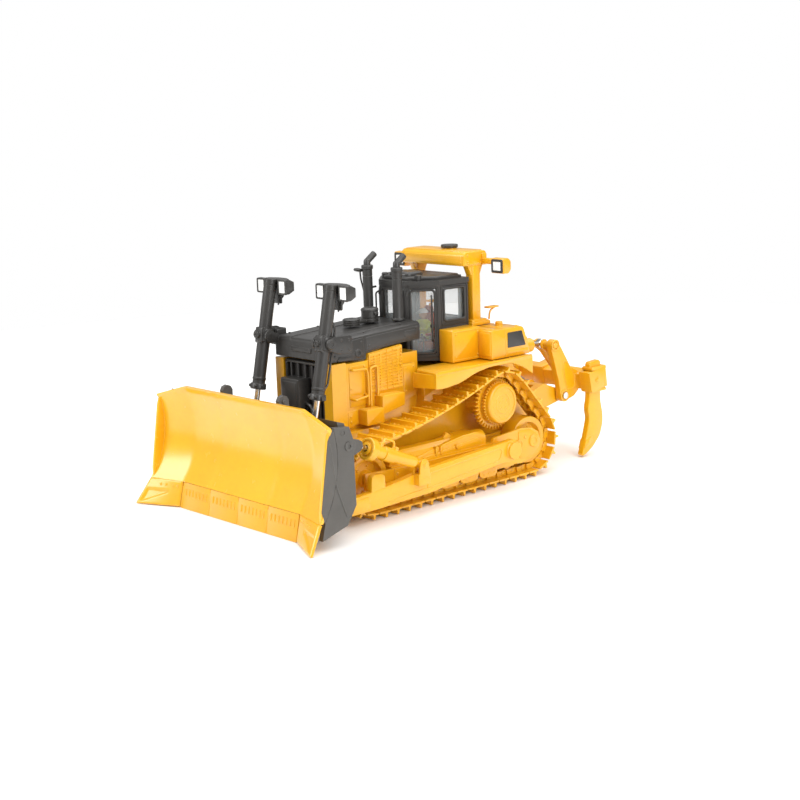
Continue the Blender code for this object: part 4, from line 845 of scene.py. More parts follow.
def make_lamps(side, word):
    """A folded bracket on the barrel's head: top plate, gusset, two chamfered lamp cases with lenses."""
    top = on_line(LIFT_PIVOT, LIFT_EYE, -19.4)
    back = top[0] + 2.7
    front = back - 2.6
    high = top[1] - 0.2
    plan = [(10.2, front + 0.8), (21.8, front + 0.8), (21.6, back + 0.8), (18.0, back + 2.4),
        (14.0, back + 2.4), (10.4, back + 0.8)]
    shapes = [slab(soft(plan, 0.5), high - 0.55, high - 0.06, 0.15, "xy")]
    rib = [(back - 0.2, high - 9.4), (back + 0.9, high - 7.8), (back + 2.4, high - 6.4),
        (back + 2.4, high - 0.3), (back - 0.2, high - 0.3)]
    shapes.append(slab(soft(rib, 0.3), LIFT_X - 0.35, LIFT_X + 0.35, 0.12))
    shapes.append(brick((LIFT_X - 6.2, LIFT_X + 6.2), (back, back + 1.1), (high - 3.2, high - 0.4), 0.2,
        0.3, "xz"))
    shapes.append(slab(soft([(LIFT_X - 2.0, high - 8.6), (LIFT_X + 2.0, high - 8.6),
        (LIFT_X + 2.6, high - 0.4), (LIFT_X - 2.6, high - 0.4)], 0.4),
                       back - 0.5, back + 0.2, 0.15, "xz"))
    lenses = []
    for half in (-1, 1):
        low, wide = sorted((LIFT_X + half * 3.6, LIFT_X + half * 8.0))
        case = [(front + 0.2, high - 5.0), (front + 0.2, high), (front + 1.6, high),
            (back + 1.0, high - 0.9), (back + 1.0, high - 3.9), (front + 1.4, high - 5.0)]
        shapes.append(slab(soft(case, 0.25), low, wide, 0.3))
        shapes.append(gasket(rounded((low, wide), (high - 5.1, high), 0.5), 0.62, front + 0.3, front - 0.35,
            "xz"))
        lenses.append(slab(rounded((low + 0.5, wide - 0.5), (high - 4.6, high - 0.5), 0.3), front - 0.1,
            front + 0.22, 0.1, "xz"))
        shapes.append(hex_bolt((LIFT_X + half * 3.0, back + 1.1, high - 1.6), (0, 1, 0), 0.45))
    body = f"lift_cylinder_{word}"
    piece(f"lamp_bracket_{word}_sheet", [on_side(s, side) for s in shapes], BLACK, body,
        [f"lamp_bracket_{word}"])
    piece(f"lamp_lenses_{word}", [on_side(s, side) for s in lenses], LENS, body)


def make_yoke(side, word):
    """Outer cheek with pin cap and bolts, on a ribbed foot against the hood."""
    cheek = soft([(-2.0, 54.0), (-2.0, 60.0), (-8.5, 60.3), (-12.6, 59.6), (-12.6, 56.4), (-8.5, 54.6)], 1.2)
    shapes = [slab(cheek, 18.8, 19.7, 0.2), brick((14.65, 19.4), (-6.6, -2.4), (54.4, 59.4), 0.3, 0.5)]
    for x in (15.2, 16.4, 17.6):
        shapes.append(gasket(rounded((-6.9, -2.1), (54.1, 59.7), 0.6), 0.5, x, x + 0.6))
    shapes.append(lathe([(1.75, -0.3), (1.75, 0.3), (1.5, 0.5), (0.8, 0.5), (0.7, 0.3)],
        (19.6, *LIFT_PIVOT), (1, 0, 0), 20))
    for spot in ((-3.4, 55.4), (-3.4, 58.8), (-6.6, 55.6), (-6.6, 58.9)):
        shapes.append(hex_bolt((19.65, *spot), (1, 0, 0), 0.42, 0.3))
    piece(f"cylinder_yoke_{word}_cheek", [on_side(s, side) for s in shapes], BLACK, "chassis",
          [f"cylinder_yoke_{word}"])


def make_tilt(side, word):
    """Brace cylinder: eye, neck, stepped barrel and a wide flange ringed with bolts, with a pipe loop."""
    origin, axis = line_frame(TILT_X, TILT_PIVOT, TILT_EYE)
    profile = [
        (0.8, 1.0), (0.85, 3.0), (1.5, 3.1), (1.95, 3.5), (2.1, 4.0), (2.1, 13.4), (2.45, 13.6), (2.45,
            17.8), (2.1, 18.0),
        (2.1, 21.4), (2.6, 21.9), (3.3, 22.6), (3.7, 22.8), (3.7, 25.0), (3.5, 25.3), (2.9, 25.3), (2.8,
            24.9),
        (2.1, 24.9), (2.0, 25.55), (1.15, 25.6), (1.1, 10.0),
    ]
    shapes = [lathe(profile, origin, axis, 36), eye(TILT_X, TILT_PIVOT, 1.7, 0.9)]
    turn = np.radians(np.arange(8) * 45 + 22.5)
    _, across, over = square_to(axis)
    for c, s in zip(np.cos(turn), np.sin(turn)):
        spot = origin + axis * 25.1 + across * 3.2 * c + over * 3.2 * s
        shapes.append(stud(spot, axis, 0.3, 0.25, 8))
    high = [on_line(TILT_PIVOT, TILT_EYE, d) + (0.37 * r, 0.93 * r) for d,
        r in ((13.8, 2.2), (14.0, 4.6), (18.6, 4.6), (18.8, 2.2))]
    shapes.append(tube(bent([(TILT_X, *p) for p in high], 1.0), 0.42, 10))
    for d in (12.6, 19.6):
        spot = on_line(TILT_PIVOT, TILT_EYE, d)
        shapes.append(lathe([(0.9, 1.2), (0.9, 3.0), (0.6, 3.2)], (TILT_X, *spot), (0, 0.37, 0.93), 12))
    piece(f"tilt_cylinder_{word}_barrel", [on_side(s, side) for s in shapes], YELLOW,
          f"tilt_cylinder_{word}", [f"tilt_cylinder_{word}"])
    length = math.dist(TILT_PIVOT, TILT_EYE)
    bar = [lathe([(0.9, length - 14), (0.9, length - 1)], origin, axis, 20), eye(TILT_X, TILT_EYE, 1.6, 1.0)]
    piece(f"tilt_rod_{word}_bar", [on_side(s, side) for s in bar], PLATED,
          f"tilt_rod_{word}", [f"tilt_rod_{word}"])


# ------------------------------------------------------------------ hood, grille and engine sides
def make_hood():
    """Cross-section (x, z) carried along y: z_top rises 2.2 over the length, the nose is rounded
    by 1.2 (1 - sqrt(1 - u^2)), and the crown is stepped down 0.3 between x = -6 and 6."""
    y = np.concatenate([np.linspace(-8, -6.6, 8), np.linspace(-5, 8, 6), [8.05, 8.3],
        np.linspace(10, 33, 10), [33.3]])
    u = np.clip((-6.6 - y) / 1.4, 0, 1)
    top = 58.0 + 2.2 * (y + 8) / 41.3 - 1.3 * (1 - np.sqrt(1 - u * u)) - 0.3 * (y > 33.1)
    low = np.interp(y, [-8, 8, 8.3, 24.4, 33.3], [50.8, 50.0, 52.4, 53.6,
        53.8]) + 0.3 * (1 - np.sqrt(1 - u * u))
    half = 14.4 - 0.5 * (1 - np.sqrt(1 - u * u)) - 0.2 * (y > 33.1)
    share = np.array([1, 1, 1, 0.985, 0.93, 0.71, 0.70, 0.43, 0.42])
    drop = np.array([0, 0, 1.5, 0.8, 0.3, 0.12, 0.0, 0.0, 0.3])
    x = half[:, None] * share[None]
    z = top[:, None] - drop[None]
    z[:, 0] = low
    z[:, 1] = low + 0.2
    x[:, 0] -= 0.25
    right = np.stack([x, np.broadcast_to(y[:, None], x.shape), z], -1)
    left = right[:, ::-1] * (-1, 1, 1)
    shapes = [carried(np.concatenate([right, left], 1))]
    nose = slab(soft([(-7.2, 51.4), (7.3, 50.7), (7.3, 57.5), (-6.6, 56.6)], 0.6), 14.2, 14.62, 0.15)
    shapes += both([nose, slab(soft([(8.4, 53.0), (24.4, 54.2), (32.6, 54.3), (32.6, 58.6), (8.4, 57.4)],
        0.6), 14.2, 14.58, 0.15)])
    boss = lathe([(1.45, -0.3), (1.45, 0.35), (1.2, 0.55), (0.75, 0.55), (0.65, 0.2)], (14.4, 4.6, 52.6),
        (1, 0, 0), 22)
    shapes += both([boss, slab(soft([(-4.6, 50.9), (2.6, 50.5), (2.2, 52.2), (-3.8, 52.4)], 0.4), 14.2,
        14.9, 0.2)])
    shapes += both([slab(soft([(25.8, 55.2), (31.4, 55.3), (31.4, 57.5), (25.8, 57.3)], 0.3), 14.4, 14.72,
        0.1)])
    shapes.append(brick((-5.4, 5.4), (-8.3, -7.7), (53.2, 54.9), 0.15, 0.3, "xz"))
    lug = soft([(-7, 55.2), (-11.4, 55.7), (-13.2, 57.0), (-13.2, 59.0), (-11.6, 60.3), (-7, 57.8)], 0.8)
    shapes += both([slab(lug, 12.3, 13.2, 0.15)])
    for spot in ((-5.6, 52.6), (-5.6, 55.6), (6.2, 52.0), (6.2, 56.2), (9.6, 54.4), (31.4, 58.0)):
        shapes += both([hex_bolt((14.6, *spot), (1, 0, 0), 0.34, 0.25)])
    for y_at in (-3.0, 9.5, 26.0):
        shapes += both([hex_bolt((12.2, y_at, 58.0 + 2.2 * (y_at + 8) / 41.3 - 0.12), (0, 0, 1), 0.4, 0.25)])
    rail = bent([(-10.6, 35.6, 70.2), (-10.6, 31.6, 70.0), (-10.6, 30.6, 67.5), (-10.6, 30.6, 59.0)], 1.2)
    shapes.append(tube(rail, 0.38, 10))
    shapes.append(tube(bent([(-10.6, 30.8, 66.0), (-10.6, 28.6, 73.6), (-10.6, 28.4, 76.4)], 1.0), 0.3, 8))
    shapes.append(lathe([(0.5, -0.7), (1.5, -0.45), (1.75, 0), (1.5, 0.45), (0.5, 0.7)],
        (-10.6, 27.6, 76.8), (0, 0.2, 1), 20))
    piece("hood_cover", shapes, BLACK, "chassis", ["hood"])


def make_intake():
    """Ribbed bowl: radius 3.1 less 0.22 where cos(2 pi z / 0.6) is low; a lidded drum and a duct."""
    z = np.linspace(59.5, 61.6, 22)
    bowl = np.column_stack([3.0 + 0.12 * np.sign(np.cos(2 * math.pi * (z - 59.5) / 0.7)), z])
    bowl = np.vstack([bowl, [(2.9, 61.7), (2.6, 61.95), (0.7, 62.0), (0.6, 62.2), (0.2, 62.25)]])
    shapes = [lathe(bowl, (0, 14.5, 0), (0, 0, 1), 40)]
    drum = [
        (3.0, 60.0), (3.0, 61.0), (2.85, 61.1), (2.85, 61.4), (3.0, 61.5), (3.0, 63.6), (3.12, 63.7), (3.12,
            64.3),
        (2.9, 64.6), (2.2, 64.9), (0.6, 65.0),
    ]
    shapes.append(lathe(drum, (0, 23.0, 0), (0, 0, 1), 40))
    shapes.append(brick((-1.4, 1.4), (15.0, 22.0), (59.9, 61.1), 0.35, 0.4, "xz"))
    shapes.append(brick((2.6, 3.9), (22.2, 23.8), (62.4, 63.6), 0.2, 0.2))
    shapes.append(tube(bent([(-2.2, 24.5, 64.0), (-4.4, 25.0, 64.0), (-4.6, 26.0, 60.4)], 1.2), 0.5, 10))
    piece("precleaner_bowls", shapes, BLACK, "chassis", ["precleaner"])
    for side, word in SIDES:
        pipe = [
            (2.3, 60.3), (2.3, 60.8), (1.85, 61.1), (1.75, 61.6), (1.75, 74.6), (1.65, 74.7), (1.65,
                74.9), (1.75, 75.0),
            (1.75, 77.1), (2.05, 77.3), (2.1, 78.3), (1.9, 78.6), (1.25, 78.7), (1.2, 80.1), (0.9, 80.6),
        ]
        tip = [(1.0, -0.4), (1.15, 0.0), (1.15, 4.2), (0.95, 4.25), (0.88, 3.0)]
        stack = [lathe(pipe, (7.7, 29.3, 0), (0, 0, 1), 28),
            lathe(tip, (7.7, 29.4, 79.9), (0, 3.6, 2.55), 20)]
        for angle in range(0, 360, 60):
            spot = (7.7 + 2.05 * math.cos(math.radians(angle)), 29.3 + 2.05 * math.sin(math.radians(angle)),
                60.75)
            stack.append(stud(spot, (0, 0, 1), 0.22, 0.2, 8))
        piece(f"exhaust_stack_{word}_pipe", [on_side(s, side) for s in stack], BLACK, "chassis",
              [f"exhaust_stack_{word}"])


def make_grille():
    """A framed panel of upright bars behind a shallow case."""
    shapes = [brick((-10.2, 10.2), (-5.4, -4.4), (26.4, 49.9), 0.1, 0.3, "xz")]
    shapes.append(gasket(rounded((-10.3, 10.3), (26.3, 50.0), 0.4), 1.2, -5.0, -7.1, "xz"))
    for x in np.linspace(-7.4, 7.4, 5):
        shapes.append(brick((x - 0.42, x + 0.42), (-6.9, -5.0), (27.0, 49.4), 0.25, 0.3, "xy"))
        shapes.append(slab([(x - 1.3, 27.0), (x + 1.3, 27.0), (x + 1.3, 49.4), (x - 1.3, 49.4)], -5.5,
            -5.25, 0.1, "xz"))
    shapes.append(brick((-8.2, 1.4), (-11.1, -5.2), (34.2, 44.4), 0.45, 0.7, "xz"))
    shapes.append(brick((-7.2, 0.4), (-11.35, -10.9), (35.3, 43.3), 0.15, 0.5, "xz"))
    shapes.append(tube(bent([(1.2, -8.0, 36.0), (4.6, -8.2, 35.4), (5.2, -8.0, 28.0)], 1.6), 0.5, 10))
    shapes.append(tube(bent([(-5.0, -8.4, 34.4), (-5.2, -8.6, 31.0), (-8.8, -8.0, 28.6)], 1.2), 0.5, 10))
    for x in (-9.4, 9.4):
        for z in (28.4, 38.0, 48.6):
            shapes.append(hex_bolt((x, -7.1, z), (0, -1, 0), 0.4, 0.25))
    piece("radiator_bars", shapes, BLACK, "chassis", ["radiator_grille"])


def make_engine_side(side, word):
    """Side cover: a plate, a louvred door whose face is 0.3 less 0.6 over each slot, steps and rails."""
    plate = [(-1.1, 27.6), (30.5, 34.6), (30.5, 46.0), (24.2, 46.0), (24.2, 53.2), (9.0, 51.9), (8.7, 49.6),
        (-1.1, 49.6)]
    shapes = [slab(soft(plate, 0.3), 13.0, PANEL_FACE - 0.1, 0.15)]

    def to_place(a, b, height):
        return np.stack([PANEL_FACE + height, a, b + (a - 9.0) * 0.086 * (b - 38.6) / 13.0], -1)

    def height(a, b):
        column = np.abs(((a - 10.4) / 2.62 + 0.5) % 1 - 0.5)
        row = np.abs(((b - 39.6) / 0.98 + 0.5) % 1 - 0.5)
        slot = smooth_step(-column, -0.38, -0.33) * smooth_step(-row, -0.3, -0.22)
        within = (a > 9.4) & (a < 23.7) & (b > 39.1) & (b < 51.0)
        seam = (np.abs(a - 19.6) < 0.1) | (np.abs(a - 16.9) < 0.1)
        return 0.3 - 0.6 * slot * within - 0.3 * seam

    shapes.append(relief(np.linspace(9.0, 24.1, 105), np.linspace(38.6, 51.6, 107), height, -0.4, to_place))
    shapes.append(slab(soft([(0.2, 34.6), (7.6, 34.8), (7.6, 48.6), (0.2, 48.4)], 0.5), 14.3, 14.75, 0.15))
    shapes.append(slab(soft([(-0.8, 28.2), (3.4, 29.2), (3.4, 33.6), (-0.8, 33.2)], 0.3), 14.3, 14.7, 0.1))
    shapes.append(slab(soft([(24.6, 35.0), (30.2, 36.0), (30.2, 45.6), (24.6, 45.6)], 0.4), 14.3, 14.8, 0.15))
    shapes.append(slab(soft([(3.8, 28.4), (11.6, 28.4), (11.6, 33.6), (3.8, 33.6)], 0.3), 13.6, 19.0, 0.25))
    shapes.append(slab(soft([(11.2, 31.0), (21.4, 33.0), (21.4, 37.4), (11.2, 37.4)], 0.3), 13.9, 18.7, 0.25))
    for x in (15.4, 16.5, 17.6, 18.4):
        shapes.append(brick((x - 0.2, x + 0.2), (4.4, 11.0), (33.4, 33.85), 0.1, 0.1, "xy"))
        shapes.append(brick((x - 0.4, x), (12.0, 20.8), (37.2, 37.62), 0.1, 0.1, "xy"))
    high = bent([(14.4, 0.8, RAIL), (16.0, 0.8, RAIL), (16.0, 6.8, RAIL - 0.2), (16.0, 7.4, 45.0),
        (16.0, 7.4, 34.6), (14.6, 7.4, 34.2)], 0.9)
    loop = [(15.8, 8.6, 33.4), (15.8, 8.6, 47.2), (15.8, 11.8, 47.6), (15.8, 11.8, 37.2)]
    low = bent([(14.6, 0.6, 37.6), (17.2, 0.6, 37.4), (17.2, 6.4, 38.2), (14.6, 6.6, 38.4)], 0.8)
    shapes += [tube(high, 0.4, 10), tube(bent(loop, 0.9), 0.42, 10), tube(low, 0.38, 10)]
    for spot in ((0.4, 29.8), (0.4, 31.6), (25.6, 36.6), (29.4, 37.2), (25.6, 44.6), (29.4, 44.8),
        (0.9, 47.8), (6.9, 48.0), (0.9, 41.0)):
        shapes.append(hex_bolt((14.75, *spot), (1, 0, 0), 0.32, 0.25))
    for spot in ((9.7, 51.2), (23.4, 52.2), (23.4, 46.4), (9.7, 39.4)):
        shapes.append(stud((14.85, *spot), (1, 0, 0), 0.34, 0.2, 10))
    piece(f"engine_panel_{word}_door", [on_side(s, side) for s in shapes], YELLOW, "chassis",
          [f"engine_panel_{word}"])


# ------------------------------------------------------------------ cab and its inside
def make_cab_trim():
    """Window seals, door and its handles, roof hump, wiper and hinges on the cab's walls."""
    door = {"origin": (6.7, 34.0, 0), "along": (0.7028, 0.7113, 0), "up": (0, 0, 1),
        "out": (0.7113, -0.7028, 0)}
    flat = [
        gasket(rounded((0.45, 11.35), (46.4, 71.0), 1.1), 0.35, -0.1, 0.28, "xy"),
        gasket(rounded((1.25, 10.5), (47.4, 70.3), 1.5), 0.75, -0.3, 0.5, "xy"),
        slab(rounded((2.2, 9.6), (46.7, 47.3), 0.2), -0.1, 0.25, 0.1, "xy"),
    ]
    for z in (49.4, 59.0, 68.6):
        flat.append(slab(rounded((-0.2, 0.9), (z - 0.8, z + 0.8), 0.25), -0.1, 0.55, 0.15, "xy"))
    shapes = both([laid(shape, **door) for shape in flat])
    grip = bent([(13.5, 39.9, 52.0), (14.6, 39.0, 52.6), (14.6, 39.0, 67.4), (13.5, 39.9, 68.0)], 0.7)
    shapes += both([tube(grip, 0.32, 10), brick((13.2, 14.6), (39.2, 40.2), (56.8, 58.0), 0.2, 0.2)])
    side = [
        gasket(rounded((44.0, 55.0), (58.3, 70.4), 1.4), 0.75, 14.8, 15.45),
        gasket(rounded((43.1, 55.9), (57.2, 71.2), 0.8), 0.3, 14.8, 15.2),
        slab(rounded((43.4, 55.6), (46.2, 56.6), 0.6), 14.8, 15.18, 0.1),
    ]
    shapes += both(side)
    shapes.append(gasket(rounded((-5.7, 5.7), (51.8, 70.4), 1.2), 0.7, 34.1, 33.55, "xz"))
    shapes.append(gasket(rounded((-11.2, 11.2), (58.3, 70.4), 1.4), 0.8, 56.3, 56.9, "xz"))
    shapes.append(brick((-10.6, 10.6), (56.3, 56.62), (46.4, 56.4), 0.1, 0.6, "xz"))
    shapes.append(tube(bent([(-1.0, 33.6, 52.6), (-0.6, 33.3, 53.4), (2.4, 33.4, 64.0)], 0.8), 0.22, 8))
    shapes.append(brick((1.9, 2.7), (33.1, 33.6), (58.0, 68.6), 0.15, 0.15, "xz"))
    roof = [(-7.2, 33.9), (7.2, 33.9), (15.2, 42.2), (15.2, 56.5), (-15.2, 56.5), (-15.2, 42.2)]
    shapes.append(gasket(soft(roof, 1.2), 0.8, 71.0, 72.3, "xy"))
    shapes.append(slab(soft([(x * 0.86, 45.5 + (y - 45.5) * 0.86) for x, y in roof], 2.0), 73.0, 74.5, 0.9,
        "xy", 4))
    shapes.append(slab(rounded((-5.4, 5.4), (36.4, 45.0), 2.2), 73.6, 75.9, 1.1, "xy", 4))
    for x in (-8.6, 8.6):
        shapes.append(lathe([(1.2, 0), (1.2, 1.6), (0.9, 1.9)], (x, 38.4, 73.2), (0, 0, 1), 16))
    piece("cab_seals", shapes, BLACK, "chassis")


def make_cab_inside():
    """Cushions with deep rounded rims, arm rests, levers, and a figure of turned and bent bars."""
    seat = [
        brick((-3.6, 3.6), (44.6, 51.4), (46.7, 50.0), 0.9, 1.2, "xy"),
        slab(soft([(-3.4, 49.4), (3.4, 49.4), (3.4, 58.6), (2.2, 60.0), (-2.2, 60.0), (-3.4, 58.6)], 1.2),
            50.4, 52.4, 0.8, "xz"),
        brick((-1.8, 1.8), (50.6, 52.2), (60.2, 62.4), 0.6, 0.6, "xz"),
        *both([brick((3.9, 5.1), (45.2, 51.6), (52.2, 53.3), 0.4, 0.4, "xy")]),
        *both([brick((4.2, 4.8), (49.6, 51.0), (47.0, 52.6), 0.2, 0.2, "xy")]),
    ]
    piece("operator_seat_cushions", seat, SEAT, "chassis", ["operator_seat"])
    shell = [
        slab(soft([(-3.6, 48.2), (3.6, 48.2), (3.6, 58.8), (2.4, 60.3), (-2.4, 60.3), (-3.6, 58.8)], 1.2),
            52.3, 52.8, 0.2, "xz"),
        brick((-2.6, 2.6), (45.6, 51.4), (46.35, 46.8), 0.15, 0.5, "xy"),
        *both([tube(bent([(5.4, 43.0, 47.0), (5.4, 43.2, 51.0), (5.2, 42.6, 52.8)], 0.8), 0.3, 8)]),
        *both([stud((5.2, 42.6, 53.0), (0, -0.2, 1), 0.55, 0.6)]),
        brick((-5.0, 5.0), (37.9, 38.6), (51.0, 54.3), 0.3, 0.5, "xz"),
        lathe_ring([(1.9, -0.2), (2.3, -0.2), (2.3, 0.2), (1.9, 0.2)], (0, 41.6, 56.2), (0, 0.7, 0.7), 28),
    ]
    piece("cab_fittings", shell, RUBBER, "chassis")
    torso = [slab(soft([(-2.6, 50.4), (2.6, 50.4), (2.9, 56.2), (1.6, 57.8), (-1.6, 57.8), (-2.9, 56.2)],
        0.9), 47.0, 50.1, 0.9, "xz", 4)]
    for hand_side, _ in SIDES:
        arm = bent([(2.5, 48.6, 56.6), (3.7, 46.2, 54.0), (1.9, 42.9, 55.4)], 0.9)
        torso.append(on_side(tube(arm, np.linspace(0.95, 0.62, len(arm)), 12), hand_side))
    piece("operator_vest", torso, VEST, "chassis", ["operator_figure"])
    legs = []
    for hand_side, _ in SIDES:
        leg = bent([(1.3, 48.6, 50.9), (1.7, 43.6, 50.9), (1.8, 42.2, 47.0)], 1.2)
        legs.append(on_side(tube(leg, np.linspace(1.05, 0.75, len(leg)), 12), hand_side))
        legs.append(on_side(brick((1.0, 2.5), (40.6, 42.9), (46.6, 47.5), 0.3, 0.4, "xy"), hand_side))
    piece("operator_legs", legs, TROUSERS, "chassis")
    ball = np.radians(np.linspace(-84, 84, 13))
    head = np.column_stack([1.45 * np.cos(ball), 1.75 * np.sin(ball)])
    shapes = [lathe(head, (0, 48.3, 59.6), (0, 0, 1), 24),
        lathe([(0.65, 0), (0.7, 1.4)], (0, 48.5, 57.2), (0, 0, 1), 16)]
    shapes += both([stud((1.75, 42.9, 55.5), (-0.3, -0.6, 0.3), 0.62, 0.6),
        stud((1.4, 48.4, 59.5), (1, 0, 0), 0.35, 0.2)])
    shapes.append(stud((0, 46.9, 59.5), (0, -1, 0.1), 0.24, 0.25))
    piece("operator_head", shapes, SKIN, "chassis")
    dome = np.radians(np.linspace(0, 84, 8))
    shell = np.vstack([[(1.9, -0.25), (1.95, 0.0)],
        np.column_stack([1.72 * np.cos(dome), 1.35 * np.sin(dome)])])
    cap = [lathe(shell, (0, 48.4, 60.4), (0, 0, 1), 28),
        slab(rounded((-1.2, 1.2), (45.9, 47.2), 0.6), 60.15, 60.4, 0.1, "xy")]
    piece("operator_helmet", cap, HELMET, "chassis")


# ------------------------------------------------------------------ roll-over frame, tanks, fenders
def make_rops():
    """Folded canopy beam on two posts, with arms, lamp cases, plinths and a capped ring."""
    beam = soft([(53.5, 77.2), (53.9, 76.95), (64.6, 76.95), (65.0, 77.4), (65.0, 81.2), (64.2, 81.95),
        (54.6, 81.95), (53.5, 80.9)], 0.5)
    shapes = [slab(beam, -16.2, 16.2, 0.45, steps=3),
        brick((-15.2, 15.2), (54.6, 64.0), (81.7, 82.2), 0.2, 0.8, "xy")]
    shapes.append(brick((-14.9, 14.9), (53.3, 53.8), (77.7, 80.6), 0.15, 0.5, "xz"))
    for side, _ in SIDES:
        mine = [
            brick((12.3, 15.9), (58.0, 62.0), (57.2, 78.2), 0.3, 0.5, "xy"),
            slab(soft([(56.0, 77.6), (64.0, 77.6), (62.0, 73.0), (58.0, 73.0)], 0.8), 12.7, 15.5, 0.3),
            brick((11.6, 16.7), (56.65, 66.0), (55.45, 56.7), 0.25, 0.4, "xy"),
            brick((12.0, 16.3), (57.0, 64.6), (56.4, 57.6), 0.3, 0.4, "xy"),
            brick((15.8, 23.0), (62.0, 64.2), (77.3, 79.3), 0.25, 0.3),
            slab(soft([(62.2, 76.9), (64.4, 76.9), (64.4, 81.0), (62.2, 81.0)], 0.4), 16.0, 16.9, 0.2),
            slab(soft([(60.9, 74.4), (63.6, 74.3), (64.8, 75.6), (64.8, 78.6), (63.6, 79.8), (60.9, 79.6)],
                0.5), 22.2, 28.4, 0.4),
            tube(bent([(15.6, 66.2, 57.0), (15.8, 66.4, 60.0), (15.8, 69.2, 61.2)], 1.4), 0.34, 10),
            brick((14.4, 17.0), (64.8, 70.2), (61.0, 61.6), 0.2, 0.4, "xy"),
        ]
        for z in (60.4, 66.4, 70.0):
            mine.append(stud((15.9, 60.6, z), (1, 0, 0), 0.3, 0.18, 10))
        for y, z in ((55.6, 78.3), (55.6, 80.6), (63.2, 78.3), (63.2, 80.6)):
            mine.append(hex_bolt((16.2, y, z), (1, 0, 0), 0.4, 0.3))
        for x, y in ((12.5, 65.2), (15.9, 65.2), (16.2, 57.6)):
            mine.append(hex_bolt((x, y, 56.7), (0, 0, 1), 0.4, 0.3))
        shapes += [on_side(shape, side) for shape in mine]
    shapes.append(lathe([(2.6, 81.6), (2.6, 82.4), (2.35, 82.7)], (2.5, 60.0, 0), (0, 0, 1), 32))
    piece("rops_frame_sheet", shapes, YELLOW, "chassis", ["rops_frame"])
    rim = [lathe([(2.4, 82.5), (3.0, 82.62), (3.1, 82.8), (3.1, 83.5), (2.9, 83.75), (1.2, 83.78),
        (1.0, 83.6)], (2.5, 60.0, 0), (0, 0, 1), 36)]
    glass = []
    for side, _ in SIDES:
        rim.append(on_side(gasket(rounded((22.6, 28.0), (74.6, 79.4), 0.6), 0.9, 61.2, 60.45, "xz"), side))
        glass.append(on_side(slab(rounded((23.3, 27.3), (75.3, 78.7), 0.4), 60.7, 61.1, 0.12, "xz"), side))
    piece("rops_lamp_rims", rim, BLACK, "chassis")
    piece("rops_lamp_lenses", glass, LENS, "chassis")


def make_tank(side, name):
    """Two boxes with soft rims and raised seams, a filler neck, straps and a plain plate."""
    rear = soft([(54.0, 44.85), (73.6, 44.85), (73.3, 47.0), (70.6, 54.2), (69.6, 55.1), (54.0, 55.1)], 0.5)
    shapes = [
        slab(soft([(41.4, 44.85), (55.4, 44.85), (55.4, 56.2), (41.4, 56.2)], 0.4), 15.25, 22.0, 0.35),
        slab(rear, 17.15, 28.6, 0.4),
        lathe([(1.55, 55.0), (1.55, 55.4), (1.35, 55.5), (1.35, 56.7), (1.1, 57.0)], (22.6, 64.0, 0),
            (0, 0, 1), 24),
        slab(soft([(60.9, 45.4), (61.15, 45.4), (61.15, 54.9), (60.9, 54.9)], 0.05), 28.5, 28.72, 0.05),
        slab(soft([(61.6, 46.0), (72.8, 46.0), (72.3, 47.2), (61.6, 47.2)], 0.2), 28.5, 28.72, 0.08),
        gasket(rounded((42.0, 54.9), (45.5, 55.6), 0.5), 0.25, 21.9, 22.12),
        brick((22.6, 28.0), (53.75, 54.1), (46.0, 54.2), 0.1, 0.5, "xz"),
        brick((17.6, 28.0), (54.9, 59.4), (55.0, 55.35), 0.12, 0.5, "xy"),
        brick((17.6, 28.0), (60.6, 69.0), (55.0, 55.3), 0.12, 0.5, "xy"),
        tube(bent([(18.0, 72.6, 50.6), (18.0, 74.2, 50.2), (26.6, 74.2, 50.2), (26.6, 72.6, 50.6)], 0.8),
            0.35, 10),
    ]
    for spot in ((43.2, 46.6), (53.8, 46.6), (43.2, 54.6), (53.8, 54.6)):
        shapes.append(hex_bolt((22.05, *spot), (1, 0, 0), 0.3, 0.22))
    for x, y in ((18.4, 55.8), (27.2, 55.8), (18.4, 68.0), (27.2, 68.0)):
        shapes.append(hex_bolt((x, y, 55.35), (0, 0, 1), 0.34, 0.24))
    piece(f"{name}_shell", [on_side(s, side) for s in shapes], YELLOW, "chassis", [name])
    plate = [slab(soft([(62.0, 48.2), (71.2, 48.2), (69.2, 53.6), (62.0, 53.6)], 0.3), 28.5, 28.8, 0.1)]
    piece(f"{name}_plate", [on_side(s, side) for s in plate], BLACK, "chassis")


